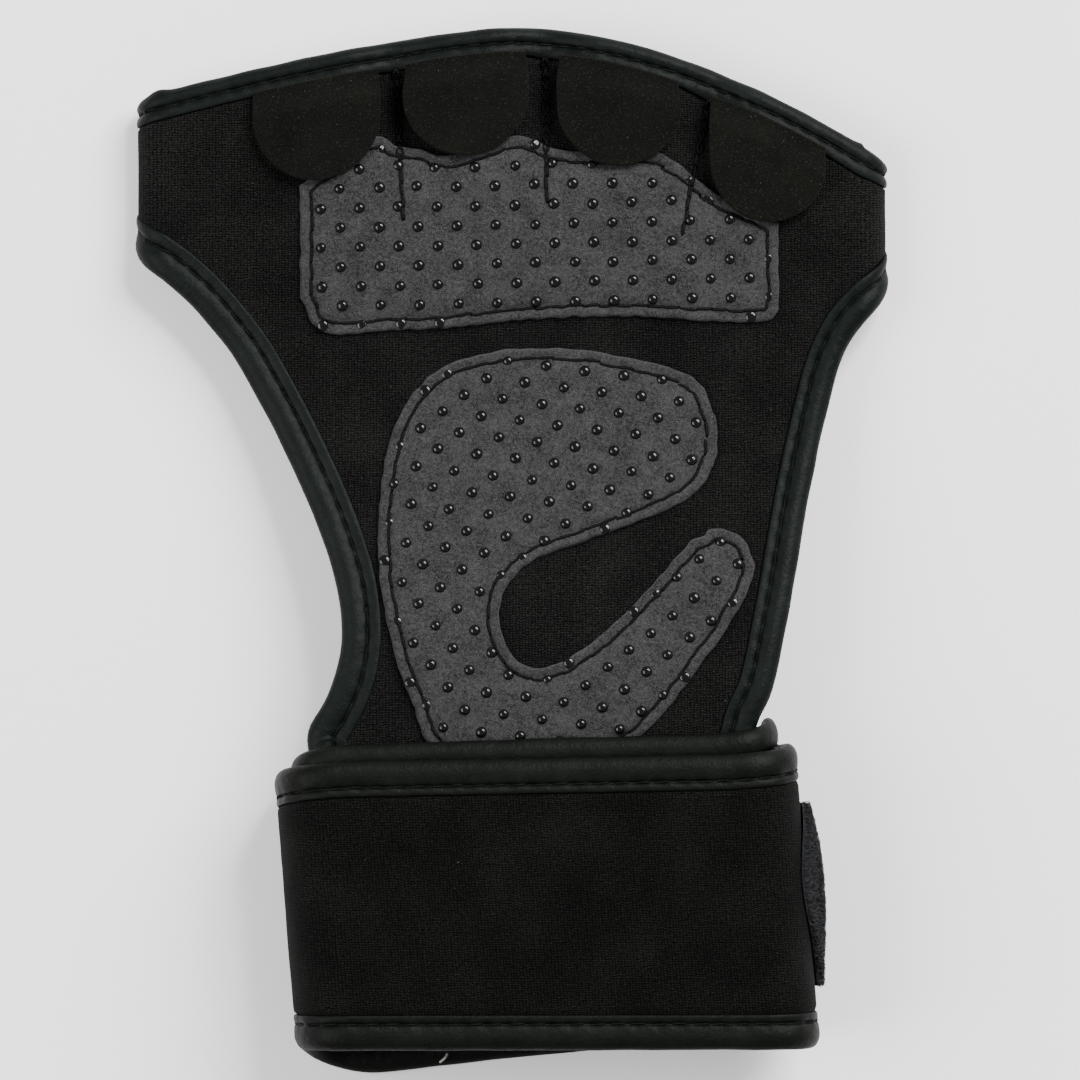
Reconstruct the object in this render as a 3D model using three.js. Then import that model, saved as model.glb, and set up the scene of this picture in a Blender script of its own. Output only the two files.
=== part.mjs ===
// Left-hand open-back fitness glove, lying on its back with the palm up. Millimetres, +Z up.
// +Y points to the fingers and +X to the little finger. The wrist strap is wound and closed.
// Each sheet of cloth is a grid of cells mapped onto a curved surface, with a wall on every free edge.
import * as THREE from "three";

// Materials' thicknesses
const NEOPRENE = 2.8;
const PRESSED = 0.8; // neoprene squeezed inside a binding
const BINDING_WALL = 0.7;
const PATCH = 0.9;
const TAB = 1.3;
const FASTENER = 0.8; // hook patch and loop patch
const GAP = 0.3; // between layers that are sewn together
const PATCH_GAP = 0.4; // between a grip patch and the curved palm
const SLIP = 0.2; // between a binding and the neoprene inside it

// Main body
const GLOVE_WIDTH = 130.6; // side fold to side fold, outer faces
const FINGER_LENGTH = 91.6; // origin line to the top of the finger arch
const ARCH_APEX = 1.4;
const ARCH_DROP_THUMB = 12.4; // how far the finger arch falls to the thumb side
const ARCH_DROP_OUTER = 23.4;
const ARCH_POWER_THUMB = 1.45;
const ARCH_POWER_OUTER = 1.75;
const BACK_SETBACK = 1.2; // knuckle band ends below the palm's finger arch
const FOLD_RADIUS = 3.6; // middle of the neoprene at the side folds
const WING = 8; // palm neoprene that reaches onto the back
const CROWN = 1.8; // how much the palm bulges above its side folds
const WRIST_HOLLOW = 10; // clear height between the strap's back and the palm
const KNUCKLE_BOW = 2.5;
const PALM_LENGTH = 110; // from the tail of the palm to the thumb-side fold

// Bindings, whole visible widths
const TOP_BINDING = 4.7;
const THUMB_BINDING = 6.9;
const OUTER_BINDING = 5.9;
const KNUCKLE_BINDING = 6.3;
const STRAP_BINDING = 6.1;

// Wrist strap, as wound: a flattened spiral of two turns and a closing end
const STRAP_SPAN = 90.9; // outer turn, fold to fold
const STRAP_CENTRE = 6.05;
const STRAP_WIDTH = 50; // mean width of the strap
const STRAP_MIDDLE = -61;
const STRAP_LEAN = 0.08; // sideways shift for each millimetre towards the fingers
const STRAP_END = 0.242 * STRAP_SPAN; // where the closing end stops, across the back
const TUCK_FROM = 14; // the tucked tail drops between these distances below the strap's edge
const TUCK_TO = 24;
const TURN_DEPTH = 6; // how far the inner turn's rounded side reaches inwards
const TURN_POWER = 2.8; // 2 is an ellipse, more is boxier

// Values worked out from the sizes above
const HALF = NEOPRENE / 2;
const LIP = BINDING_WALL + SLIP; // binding that stands past the neoprene's edge
const STEP = 0.9; // length of the ramp from pressed to full thickness
const FOLD_X = GLOVE_WIDTH / 2 - FOLD_RADIUS - HALF;
const FOLD_TOP = HALF + 2 * FOLD_RADIUS;
const LAYER = NEOPRENE + GAP;
const Z_END = HALF;
const Z_BACK = Z_END + NEOPRENE + 3 * GAP + 2 * FASTENER;
const Z_PALM = Z_BACK + NEOPRENE + WRIST_HOLLOW;
const Z_TAIL = Z_PALM + PATCH + PATCH_GAP;
const Z_INNER = Z_TAIL + LAYER;
const Z_OUTER = Z_INNER + LAYER;

// Palm sections from the tucked tail up to the side folds. Lengths along Y are shares of
// PALM_LENGTH from the tail, lengths along X are shares of half the glove's width.
const PALM_TAIL_Y = -61.7;
const PALM_SECTIONS = [
  { thumbUp: 0.0, thumb: -0.383, outerUp: 0.03, outer: 0.55 },
  { thumbUp: 0.16, thumb: -0.452, outerUp: 0.225, outer: 0.605 },
  { thumbUp: 0.2, thumb: -0.5, outerUp: 0.265, outer: 0.628 },
  { thumbUp: 0.243, thumb: -0.523, outerUp: 0.303, outer: 0.643 },
  { thumbUp: 0.278, thumb: -0.531, outerUp: 0.334, outer: 0.671 },
  { thumbUp: 0.311, thumb: -0.497, outerUp: 0.365, outer: 0.687 },
  { thumbUp: 0.347, thumb: -0.467, outerUp: 0.397, outer: 0.699 },
  { thumbUp: 0.388, thumb: -0.446, outerUp: 0.434, outer: 0.711 },
  { thumbUp: 0.438, thumb: -0.438, outerUp: 0.479, outer: 0.726 },
  { thumbUp: 0.502, thumb: -0.449, outerUp: 0.529, outer: 0.741 },
  { thumbUp: 0.565, thumb: -0.479, outerUp: 0.584, outer: 0.757 },
  { thumbUp: 0.629, thumb: -0.519, outerUp: 0.638, outer: 0.773 },
  { thumbUp: 0.694, thumb: -0.568, outerUp: 0.694, outer: 0.792 },
  { thumbUp: 0.757, thumb: -0.619, outerUp: 0.747, outer: 0.812 },
  { thumbUp: 0.821, thumb: -0.677, outerUp: 0.797, outer: 0.832 },
  { thumbUp: 0.875, thumb: -0.73, outerUp: 0.843, outer: 0.851 },
  { thumbUp: 0.916, thumb: -0.783, outerUp: 0.879, outer: 0.874 },
  { thumbUp: 0.956, thumb: -0.841, outerUp: 0.906, outer: 0.896 },
];
const THUMB_FOLD_UP = 1.0; // where the fold starts, as a share of PALM_LENGTH
const OUTER_FOLD_UP = 0.929;
const THUMB_WING_RISE = 8.5; // how far the lower edge climbs from the fold to the wing's end
const OUTER_WING_RISE = 12;
const FIRST_BOUND_SECTION = 2; // the side binding starts here, under the strap

// Seams between the finger channels: top and lower end, X as shares of half the glove's
// width, Y as shares of FINGER_LENGTH
const SEAMS = [
  { topX: -0.31, topY: 0.93, endX: -0.288, endY: 0.633 },
  { topX: 0.089, topY: 0.95, endX: 0.092, endY: 0.666 },
  { topX: 0.53, topY: 0.87, endX: 0.452, endY: 0.604 },
];
const SEAM_REACH = 7.5; // half width of the valley beside a seam
const SEAM_FADE = 22; // length over which a valley runs out
const SEAM_RIDGE = 1.8; // how far the knuckle band rises to meet the palm at a seam
const SEAM_AT_EDGE = 0.5; // share of a valley that is left at the bound edge
const SEAM_COLUMNS = [-8, -3.7, 0, 3.7, 8];
const PATCH_SEAM_SHARE = 0.8; // the finger patch bridges the valleys a little

// Finger tabs: centre and radius of the round end, shares as for the seams, the radius as X
const TABS = [
  { name: "index_tab", x: -0.524, y: 0.825, radius: 0.164 },
  { name: "middle_tab", x: -0.124, y: 0.866, radius: 0.156 },
  { name: "ring_tab", x: 0.285, y: 0.845, radius: 0.155 },
  { name: "little_tab", x: 0.683, y: 0.737, radius: 0.152 },
];

// Finger patch: its upper and lower edges, shares of its own width and height
const FINGER_PATCH_LEFT = -0.2818 * GLOVE_WIDTH;
const FINGER_PATCH_WIDTH = 0.637 * GLOVE_WIDTH;
const FINGER_PATCH_BOTTOM = 0.4116 * FINGER_LENGTH;
const FINGER_PATCH_HEIGHT = 0.382 * FINGER_LENGTH;
const FINGER_PATCH_SECTIONS = [
  { across: 0.0, low: 0.22, high: 0.75 },
  { across: 0.025, low: 0.08, high: 0.8 },
  { across: 0.07, low: 0.01, high: 0.87 },
  { across: 0.147, low: 0.02, high: 0.995 },
  { across: 0.2, low: 0.03, high: 0.94 },
  { across: 0.25, low: 0.035, high: 0.93 },
  { across: 0.31, low: 0.04, high: 0.9 },
  { across: 0.38, low: 0.06, high: 0.94 },
  { across: 0.44, low: 0.075, high: 0.997 },
  { across: 0.487, low: 0.085, high: 0.97 },
  { across: 0.515, low: 0.09, high: 0.937 },
  { across: 0.58, low: 0.095, high: 0.917 },
  { across: 0.66, low: 0.1, high: 0.92 },
  { across: 0.745, low: 0.095, high: 0.915 },
  { across: 0.778, low: 0.09, high: 0.87 },
  { across: 0.82, low: 0.08, high: 0.79 },
  { across: 0.87, low: 0.075, high: 0.71 },
  { across: 0.94, low: 0.07, high: 0.63 },
  { across: 0.985, low: 0.085, high: 0.585 },
  { across: 1.0, low: 0.13, high: 0.565 },
];

// Palm patch, a hook that runs from its round head over the thumb side to a narrow tip.
// Each rib joins its outer edge to its inner edge, shares of its own width and height.
const PALM_PATCH_LEFT = -0.1776 * GLOVE_WIDTH;
const PALM_PATCH_WIDTH = 0.5008 * GLOVE_WIDTH;
const PALM_PATCH_TOP = PALM_TAIL_Y + 0.8864 * PALM_LENGTH;
const PALM_PATCH_HEIGHT = 0.6409 * PALM_LENGTH;
const PALM_PATCH_RIBS = [
  { outX: 0.888, outY: 0.167, inX: 0.883, inY: 0.305 },
  { outX: 0.862, outY: 0.1, inX: 0.86, inY: 0.345 },
  { outX: 0.812, outY: 0.065, inX: 0.82, inY: 0.382 },
  { outX: 0.725, outY: 0.038, inX: 0.755, inY: 0.412 },
  { outX: 0.608, outY: 0.017, inX: 0.652, inY: 0.45 },
  { outX: 0.475, outY: 0.002, inX: 0.55, inY: 0.484 },
  { outX: 0.35, outY: 0.005, inX: 0.46, inY: 0.512 },
  { outX: 0.24, outY: 0.025, inX: 0.4, inY: 0.54 },
  { outX: 0.16, outY: 0.055, inX: 0.365, inY: 0.567 },
  { outX: 0.09, outY: 0.12, inX: 0.338, inY: 0.602 },
  { outX: 0.035, outY: 0.22, inX: 0.325, inY: 0.64 },
  { outX: 0.008, outY: 0.36, inX: 0.322, inY: 0.675 },
  { outX: 0.0, outY: 0.49, inX: 0.33, inY: 0.71 },
  { outX: 0.012, outY: 0.62, inX: 0.345, inY: 0.745 },
  { outX: 0.045, outY: 0.76, inX: 0.37, inY: 0.775 },
  { outX: 0.095, outY: 0.885, inX: 0.402, inY: 0.79 },
  { outX: 0.165, outY: 1.0, inX: 0.44, inY: 0.79 },
  { outX: 0.42, outY: 1.03, inX: 0.49, inY: 0.775 },
  { outX: 0.62, outY: 1.0, inX: 0.545, inY: 0.745 },
  { outX: 0.74, outY: 0.92, inX: 0.605, inY: 0.7 },
  { outX: 0.835, outY: 0.81, inX: 0.67, inY: 0.645 },
  { outX: 0.915, outY: 0.71, inX: 0.735, inY: 0.58 },
  { outX: 0.975, outY: 0.615, inX: 0.79, inY: 0.523 },
  { outX: 0.998, outY: 0.55, inX: 0.825, inY: 0.487 },
  { outX: 0.98, outY: 0.498, inX: 0.865, inY: 0.467 },
];

// Strap edges at the places where the strip turns: millimetres past the mean width's two
// edges, as shares of STRAP_WIDTH
const STRAP_EDGES = [
  { place: "start", upper: 0.152, lower: 0.13 },
  { place: "inner thumb fold", upper: 0.004, lower: 0.0 },
  { place: "outer fold", upper: 0.062, lower: 0.008 },
  { place: "outer thumb fold", upper: -0.044, lower: -0.002 },
  { place: "after the thumb fold", upper: -0.07, lower: -0.106 },
  { place: "end", upper: -0.02, lower: 0.0 },
];
const LOOP_UPPER = STRAP_MIDDLE + 0.35 * STRAP_WIDTH; // loop patch and hook patch, along Y
const LOOP_LOWER = STRAP_MIDDLE - 0.286 * STRAP_WIDTH;
const LOOP_START = -0.132 * STRAP_SPAN; // on the back, across
const HOOK_START = -0.066 * STRAP_SPAN;
const HOOK_MARGIN = 2;

const { clamp, lerp, smoothstep } = THREE.MathUtils;
const WIDTH_SHARE = GLOVE_WIDTH / 2;

// A closed mesh from points and quads or triangles, turned round if its faces point inwards
function closedMesh(points, faces) {
  const triangles = faces.flatMap((f) =>
    f.length === 4 ? [[f[0], f[1], f[2]], [f[0], f[2], f[3]]] : [f],
  );
  const volume = triangles.reduce(
    (sum, [a, b, c]) => sum + points[a].dot(points[b].clone().cross(points[c])),
    0,
  );
  if (volume < 0) triangles.forEach((t) => t.reverse());
  const geometry = new THREE.BufferGeometry().setFromPoints(points);
  geometry.setIndex(triangles.flat());
  geometry.computeVertexNormals();
  return geometry;
}

// A sheet of cloth on a grid. at(i, j) gives a point and a unit normal of its surface, and
// depth(i, j) how far its two faces lie along that normal. keep(i, j) says which cells exist.
function sheet(columns, rows, at, depth, keep = () => true) {
  const points = [];
  const number = new Map();
  const corner = (i, j, face) => {
    const key = (j * (columns + 1) + i) * 2 + face;
    if (!number.has(key)) {
      const { point, normal } = at(i, j);
      number.set(key, points.length);
      points.push(point.clone().addScaledVector(normal, depth(i, j)[face]));
    }
    return number.get(key);
  };
  const here = (i, j) => i >= 0 && j >= 0 && i < columns && j < rows && keep(i, j);
  const faces = [];
  for (let j = 0; j < rows; j++)
    for (let i = 0; i < columns; i++) {
      if (!here(i, j)) continue;
      const ring = [[i, j], [i + 1, j], [i + 1, j + 1], [i, j + 1]];
      const beside = [[i, j - 1], [i + 1, j], [i, j + 1], [i - 1, j]];
      // The cell is split along the diagonal whose ends are more alike in thickness
      const [p, q, r, s] = ring.map(([a, b]) => depth(a, b)[1]);
      const order = Math.abs(p - r) > Math.abs(q - s) ? [...ring.slice(1), ring[0]] : ring;
      const [t, u, v, w] = order.map(([a, b]) => corner(a, b, 0));
      faces.push(order.map(([a, b]) => corner(a, b, 1)));
      faces.push([t, w, v], [t, v, u]);
      beside.forEach(([a, b], side) => {
        if (here(a, b)) return;
        const [p, q] = [ring[side], ring[(side + 1) % 4]];
        faces.push([corner(...p, 0), corner(...q, 0), corner(...q, 1), corner(...p, 1)]);
      });
    }
  return closedMesh(points, faces);
}

// A binding folded over the edge that the stations follow. Each station has a point and normal
// of the cloth on its edge, and another inside it, where the binding stops, so that both walls
// follow the cloth. side is 1 where the cloth lies to the right of the direction of travel, seen
// from outside, and -1 where it lies to the left.
function binding(stations, isLoop, side) {
  const count = stations.length;
  const slot = HALF - BINDING_WALL;
  const points = stations.flatMap(({ edge, inner }, k) => {
    const before = stations[isLoop ? (k + count - 1) % count : Math.max(k - 1, 0)].edge.point;
    const after = stations[isLoop ? (k + 1) % count : Math.min(k + 1, count - 1)].edge.point;
    const along = after.clone().sub(before);
    const out = edge.normal.clone().cross(along).normalize().multiplyScalar(side);
    const stop = inner.point.clone().lerp(edge.point, SLIP / inner.point.distanceTo(edge.point));
    const wall = (up) => stop.clone().addScaledVector(inner.normal, up);
    const past = (up, reach) =>
      edge.point.clone().addScaledVector(edge.normal, up).addScaledVector(out, reach);
    const outside = [wall(HALF), past(HALF, 0), past(HALF / 2, LIP)];
    const otherSide = [past(-HALF / 2, LIP), past(-HALF, 0), wall(-HALF)];
    const inside = [wall(-slot), past(-slot, SLIP), past(slot, SLIP), wall(slot)];
    return [...outside, ...otherSide, ...inside];
  });
  const sides = points.length / count;
  const faces = [];
  for (let k = 0; k < (isLoop ? count : count - 1); k++)
    for (let s = 0; s < sides; s++) {
      const t = (s + 1) % sides;
      const next = (k + 1) % count;
      const quad = [k * sides + s, next * sides + s, next * sides + t, k * sides + t];
      // The slot's second wall is split along the same diagonal as its first
      faces.push(s === sides - 2 ? [...quad.slice(1), quad[0]] : quad);
    }
  // An open binding's ends: the two walls and the lip, as quads from outside to inside
  const cap = [[0, 1, 8, 9], [1, 2, 3, 8], [3, 4, 7, 8], [4, 5, 6, 7]];
  const last = (count - 1) * sides;
  for (const quad of isLoop ? [] : cap) {
    faces.push([...quad]);
    faces.push(quad.map((n) => n + last).reverse());
  }
  return closedMesh(points, faces);
}

// Interpolates a column of a table whose rows are sorted by key
function between(rows, key, column, value) {
  const last = rows.length - 1;
  const k = clamp(rows.findIndex((row) => row[key] > value) - 1, 0, last - 1);
  const start = value >= rows[last][key] ? last - 1 : k;
  const [a, b] = [rows[start], rows[start + 1]];
  return lerp(a[column], b[column], clamp((value - a[key]) / (b[key] - a[key]), 0, 1));
}

// How much further a band of constant width reaches along an axis when its edge is slanted
const slant = (rise, run) => Math.hypot(rise, run) / Math.abs(run);

// Finger arch, the finished edge of the palm seen from above
function archY(x) {
  const away = x - ARCH_APEX;
  const span = WIDTH_SHARE - Math.sign(away) * ARCH_APEX;
  const drop = away < 0 ? ARCH_DROP_THUMB : ARCH_DROP_OUTER;
  const power = away < 0 ? ARCH_POWER_THUMB : ARCH_POWER_OUTER;
  return FINGER_LENGTH - drop * (Math.abs(away) / span) ** power;
}
const archSlant = (x) => slant(archY(x + 1) - archY(x - 1), 2);

// Lower end of the finger tube on the palm side, a straight line between the two fold ends
const foldY = (share) => PALM_TAIL_Y + PALM_LENGTH * share;
function tubeLowY(x) {
  const t = (x + FOLD_X) / (2 * FOLD_X);
  return lerp(foldY(THUMB_FOLD_UP), foldY(OUTER_FOLD_UP), t);
}

// The palm's edges as rows sorted by Y, ending at the fold lines
const THUMB_EDGE = [
  ...PALM_SECTIONS.map((s) => ({ y: foldY(s.thumbUp), x: s.thumb * WIDTH_SHARE })),
  { y: foldY(THUMB_FOLD_UP), x: -FOLD_X },
];
const OUTER_EDGE = [
  ...PALM_SECTIONS.map((s) => ({ y: foldY(s.outerUp), x: s.outer * WIDTH_SHARE })),
  { y: foldY(OUTER_FOLD_UP), x: FOLD_X },
];

// Where a seam lies at height y, and how much of its valley is left there
function seamX(seam, y) {
  const t = (y - seam.endY * FINGER_LENGTH) / ((seam.topY - seam.endY) * FINGER_LENGTH);
  return WIDTH_SHARE * lerp(seam.endX, seam.topX, clamp(t, 0, 1.2));
}
function seamDepth(seam, x, y) {
  const end = seam.endY * FINGER_LENGTH;
  const belowEdge = smoothstep(archY(x) - y, TOP_BINDING / 2, 2 * TOP_BINDING);
  return smoothstep(y, end, end + SEAM_FADE) * lerp(SEAM_AT_EDGE, 1, belowEdge);
}

// How open the finger tube is at (x, y): 0 on a seam where the two layers meet, 1 away from it
function openness(x, y, seamShare = 1) {
  return SEAMS.reduce((rest, seam) => {
    const away = clamp(Math.abs(x - seamX(seam, y)) / SEAM_REACH, 0, 1);
    const valley = 1 - Math.sin((away * Math.PI) / 2);
    return rest * (1 - seamShare * seamDepth(seam, x, y) * valley);
  }, 1);
}

// Height of the palm neoprene's middle. It rests on its side folds at the fingers, bulges
// between them, and climbs towards the wrist, where it goes in under the strap.
function palmHeight(x, y, seamShare = 1) {
  const thumb = between(THUMB_EDGE, "y", "x", y);
  const outer = between(OUTER_EDGE, "y", "x", y);
  const across = clamp((2 * x - thumb - outer) / (outer - thumb), -1, 1);
  const tube = FOLD_TOP + CROWN * (1 - Math.abs(across) ** 2.2);
  const climbEnd = STRAP_MIDDLE + STRAP_WIDTH / 2 + 6;
  const climb = 1 - smoothstep(y, climbEnd, foldY(OUTER_FOLD_UP));
  const tucked = 1 - smoothstep(y, climbEnd - TUCK_TO, climbEnd - TUCK_FROM);
  const free = lerp(tube, Z_PALM, climb) + (Z_TAIL - Z_PALM) * tucked;
  const floor = HALF + SEAM_RIDGE + NEOPRENE + GAP;
  return floor + (free - floor) * openness(x, y, seamShare);
}

// Point and normal of the palm's middle surface above (x, y). seamShare says how much of the
// seams' valleys it follows, from 0 to 1.
function onPalm(x, y, seamShare = 1) {
  return onSurface((px, py) => palmHeight(px, py, seamShare), x, y, 1);
}

// Point and normal of a surface given by its height over (x, y), with the normal up or down
function onSurface(height, x, y, up) {
  const d = 0.5;
  const slope = (dx, dy) => (height(x + dx, y + dy) - height(x - dx, y - dy)) / (2 * d);
  const normal = new THREE.Vector3(-slope(d, 0), -slope(0, d), 1).multiplyScalar(up);
  return { point: new THREE.Vector3(x, y, height(x, y)), normal: normal.normalize() };
}

// Half thicknesses of neoprene, pressed where a binding holds it
const full = [-HALF, HALF];
const pressed = [-PRESSED / 2, PRESSED / 2];

// Columns of the palm grid: bands under the bindings, and lines along the finger seams
const THUMB_REACH = THUMB_BINDING - LIP;
const OUTER_REACH = OUTER_BINDING - LIP;
const KNUCKLE_REACH = KNUCKLE_BINDING - LIP;
const TOP_REACH = TOP_BINDING - LIP;
const thumbBand = [0, THUMB_REACH, THUMB_REACH + STEP];
const outerBand = [OUTER_REACH + STEP, OUTER_REACH, 0];
const innerLow = -FOLD_X + THUMB_REACH + STEP;
const innerWide = 2 * FOLD_X - THUMB_REACH - OUTER_REACH - 2 * STEP;
const seamMiddles = SEAMS.map((s) => ((s.topX + s.endX) / 2) * WIDTH_SHARE);
const columnShares = [
  ...[1 / 3, 2 / 3].map((t) => (t * (seamMiddles[0] + SEAM_COLUMNS[0] - innerLow)) / innerWide),
  ...seamMiddles.flatMap((x) => SEAM_COLUMNS.map((d) => (x + d - innerLow) / innerWide)),
  ...seamMiddles.slice(1).map((x, k) => ((x + seamMiddles[k]) / 2 - innerLow) / innerWide),
  (1 + (seamMiddles[2] + SEAM_COLUMNS[4] - innerLow) / innerWide) / 2,
].sort((a, b) => a - b);
const MAIN = thumbBand.length + columnShares.length + outerBand.length - 1;

// X of a palm column between the two edges of its row, whose bands widen where they slant
function columnX(i, left, right, thumbSlant = 1, outerSlant = 1) {
  if (i < thumbBand.length) return left + thumbBand[i] * thumbSlant;
  const fromEnd = i - MAIN + outerBand.length - 1;
  if (fromEnd >= 0) return right - outerBand[fromEnd] * outerSlant;
  const low = left + thumbBand[2] * thumbSlant;
  const high = right - outerBand[0] * outerSlant;
  return lerp(low, high, columnShares[i - thumbBand.length]);
}

// Y of row r of the tube, between its lower and upper edges at that place
const TUBE_ROWS = 10;
function tubeY(r, low, high, lowSlant, highSlant) {
  const from = [0, KNUCKLE_REACH, KNUCKLE_REACH + STEP].map((d) => d * lowSlant);
  const to = [TOP_REACH + STEP, TOP_REACH, 0].map((d) => d * highSlant);
  if (r < 3) return low + from[r];
  if (r > TUBE_ROWS - 3) return high - to[r - TUBE_ROWS + 2];
  return lerp(low + from[2], high - to[0], (r - 2) / (TUBE_ROWS - 4));
}

// How much the binding's band widens on a wing whose lower edge has a share of its steepest rise
function wingSlant(hand, share) {
  const rise = hand < 0 ? THUMB_WING_RISE : OUTER_WING_RISE;
  return slant((rise * share * Math.PI) / 2, FOLD_RADIUS * Math.PI + WING);
}

// Points round a side fold and onto the back. The wing has FOLD_STEPS columns round the fold
// and one more to its end. hand is -1 on the thumb side and 1 on the outer side.
const FOLD_STEPS = 6;
function foldPoint(hand, step, r) {
  const turn = (Math.PI * Math.min(step, FOLD_STEPS)) / FOLD_STEPS;
  const beyond = step > FOLD_STEPS ? WING : 0;
  const x = hand * (FOLD_X + FOLD_RADIUS * Math.sin(turn) - beyond);
  const z = HALF + FOLD_RADIUS * (1 + Math.cos(turn));
  const whole = FOLD_RADIUS * Math.PI + WING;
  const travelled = ((FOLD_RADIUS * turn + beyond) / whole) * (Math.PI / 2);
  const rise = hand < 0 ? THUMB_WING_RISE : OUTER_WING_RISE;
  const lowSlant = wingSlant(hand, Math.cos(travelled));
  const low = tubeLowY(hand * FOLD_X) + rise * Math.sin(travelled);
  const high = archY(x) - LIP - BACK_SETBACK * smoothstep(turn, 0, Math.PI);
  return {
    point: new THREE.Vector3(x, tubeY(r, low, high, lowSlant, archSlant(x)), z),
    normal: new THREE.Vector3(hand * Math.sin(turn), 0, Math.cos(turn)),
  };
}

// Palm panel: tail and palm rows from the table, then the tube rows with a wing on each side
const FOLD_ROW = PALM_SECTIONS.length;
const WINGS = FOLD_STEPS + 1;
const PALM_COLUMNS = WINGS + MAIN + WINGS;
const PALM_ROWS = FOLD_ROW + TUBE_ROWS;
function palmPlace(i, j) {
  const column = i - WINGS;
  if (column < 0) return foldPoint(-1, -column, j - FOLD_ROW);
  if (column > MAIN) return foldPoint(1, column - MAIN, j - FOLD_ROW);
  const edgeSlant = (edge) => {
    const [a, b] = [edge[Math.max(j - 1, 0)], edge[Math.min(j + 1, FOLD_ROW)]];
    return j > FOLD_ROW ? 1 : slant(b.x - a.x, b.y - a.y);
  };
  const [left, right] = [THUMB_EDGE, OUTER_EDGE].map((edge) => edge[Math.min(j, FOLD_ROW)]);
  const x = columnX(column, left.x, right.x, edgeSlant(THUMB_EDGE), edgeSlant(OUTER_EDGE));
  if (j < FOLD_ROW) return onPalm(x, lerp(left.y, right.y, (x - left.x) / (right.x - left.x)));
  const lowSlant = lerp(1, wingSlant(Math.sign(x), 1), Math.abs(x / FOLD_X) ** 8);
  return onPalm(x, tubeY(j - FOLD_ROW, tubeLowY(x), archY(x) - LIP, lowSlant, archSlant(x)));
}
function palmDepth(i, j) {
  const column = i - WINGS;
  const r = j - FOLD_ROW;
  const inTopBinding = r >= TUBE_ROWS - 1;
  const inWingBinding = r <= 1 && (column <= 0 || column >= MAIN);
  const bySide = column < 2 || column > MAIN - 2;
  const inSideBinding = r <= 0 && bySide && j >= FIRST_BOUND_SECTION - 1;
  const isPressed = inTopBinding || inSideBinding || (r >= 0 && inWingBinding);
  return isPressed ? pressed : full;
}
function palmPanel() {
  const keep = (i, j) => j >= FOLD_ROW || (i >= WINGS && i < WINGS + MAIN);
  return sheet(PALM_COLUMNS, PALM_ROWS, palmPlace, palmDepth, keep);
}

// Knuckle band: the flat strip across the back, between the ends of the palm's two wings. It
// rises to the palm at the seams.
const BAND_REACH = FOLD_X - WING - GAP;
const BAND_X = [
  ...[-BAND_REACH, (seamMiddles[0] - BAND_REACH) / 2],
  ...seamMiddles.flatMap((x) => [x - SEAM_REACH, x - SEAM_REACH / 2, x, x + SEAM_REACH / 2,
    x + SEAM_REACH]),
  BAND_REACH,
];
const BAND_COLUMNS = BAND_X.length - 1;
const bandHeight = (x, y) => HALF + SEAM_RIDGE * (1 - openness(x, y));
function bandPlace(i, r) {
  const x = BAND_X[i];
  const [a, b] = [-1, 1].map((hand) => foldPoint(hand, WINGS, 0).point.y);
  const across = x / BAND_REACH;
  const low = lerp(a, b, (across + 1) / 2) + KNUCKLE_BOW * (1 - across * across);
  const high = archY(x) - LIP - BACK_SETBACK;
  return onSurface(bandHeight, x, tubeY(r, low, high, 1, archSlant(x)), -1);
}
function knuckleBand() {
  const depth = (i, r) => (r <= 1 || r >= TUBE_ROWS - 1 ? pressed : full);
  return sheet(BAND_COLUMNS, TUBE_ROWS, bandPlace, depth);
}

const steps = (from, to) => {
  const size = Math.abs(to - from) + 1;
  return Array.from({ length: size }, (_, k) => from + k * Math.sign(to - from));
};

// Top binding: a closed loop round the finger opening, over the palm's arch and along the back
function topBinding() {
  const pair = (place) => ({ edge: place(TUBE_ROWS), inner: place(TUBE_ROWS - 1) });
  const stations = [
    ...steps(WINGS, WINGS + MAIN).map((i) => pair((r) => palmPlace(i, FOLD_ROW + r))),
    ...steps(1, WINGS).map((step) => pair((r) => foldPoint(1, step, r))),
    ...steps(BAND_COLUMNS, 0).map((i) => pair((r) => bandPlace(i, r))),
    ...steps(WINGS, 1).map((step) => pair((r) => foldPoint(-1, step, r))),
  ];
  return binding(stations, true, 1);
}

// Side binding: one strip up the thumb edge, along the back's lower edge and down the outer edge
function sideBinding() {
  const [thumb, outer] = [WINGS, WINGS + MAIN];
  const rows = steps(FIRST_BOUND_SECTION, FOLD_ROW - 1);
  const across = (j, from, to) => ({ edge: palmPlace(from, j), inner: palmPlace(to, j) });
  const up = (place) => ({ edge: place(0), inner: place(1) });
  const stations = [
    ...rows.map((j) => across(j, thumb, thumb + 1)),
    up((r) => palmPlace(thumb, FOLD_ROW + r)),
    ...steps(1, WINGS).map((step) => up((r) => foldPoint(-1, step, r))),
    ...steps(0, BAND_COLUMNS).map((i) => up((r) => bandPlace(i, r))),
    ...steps(WINGS, 1).map((step) => up((r) => foldPoint(1, step, r))),
    up((r) => palmPlace(outer, FOLD_ROW + r)),
    ...rows.reverse().map((j) => across(j, outer, outer - 1)),
  ];
  return binding(stations, false, 1);
}

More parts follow.
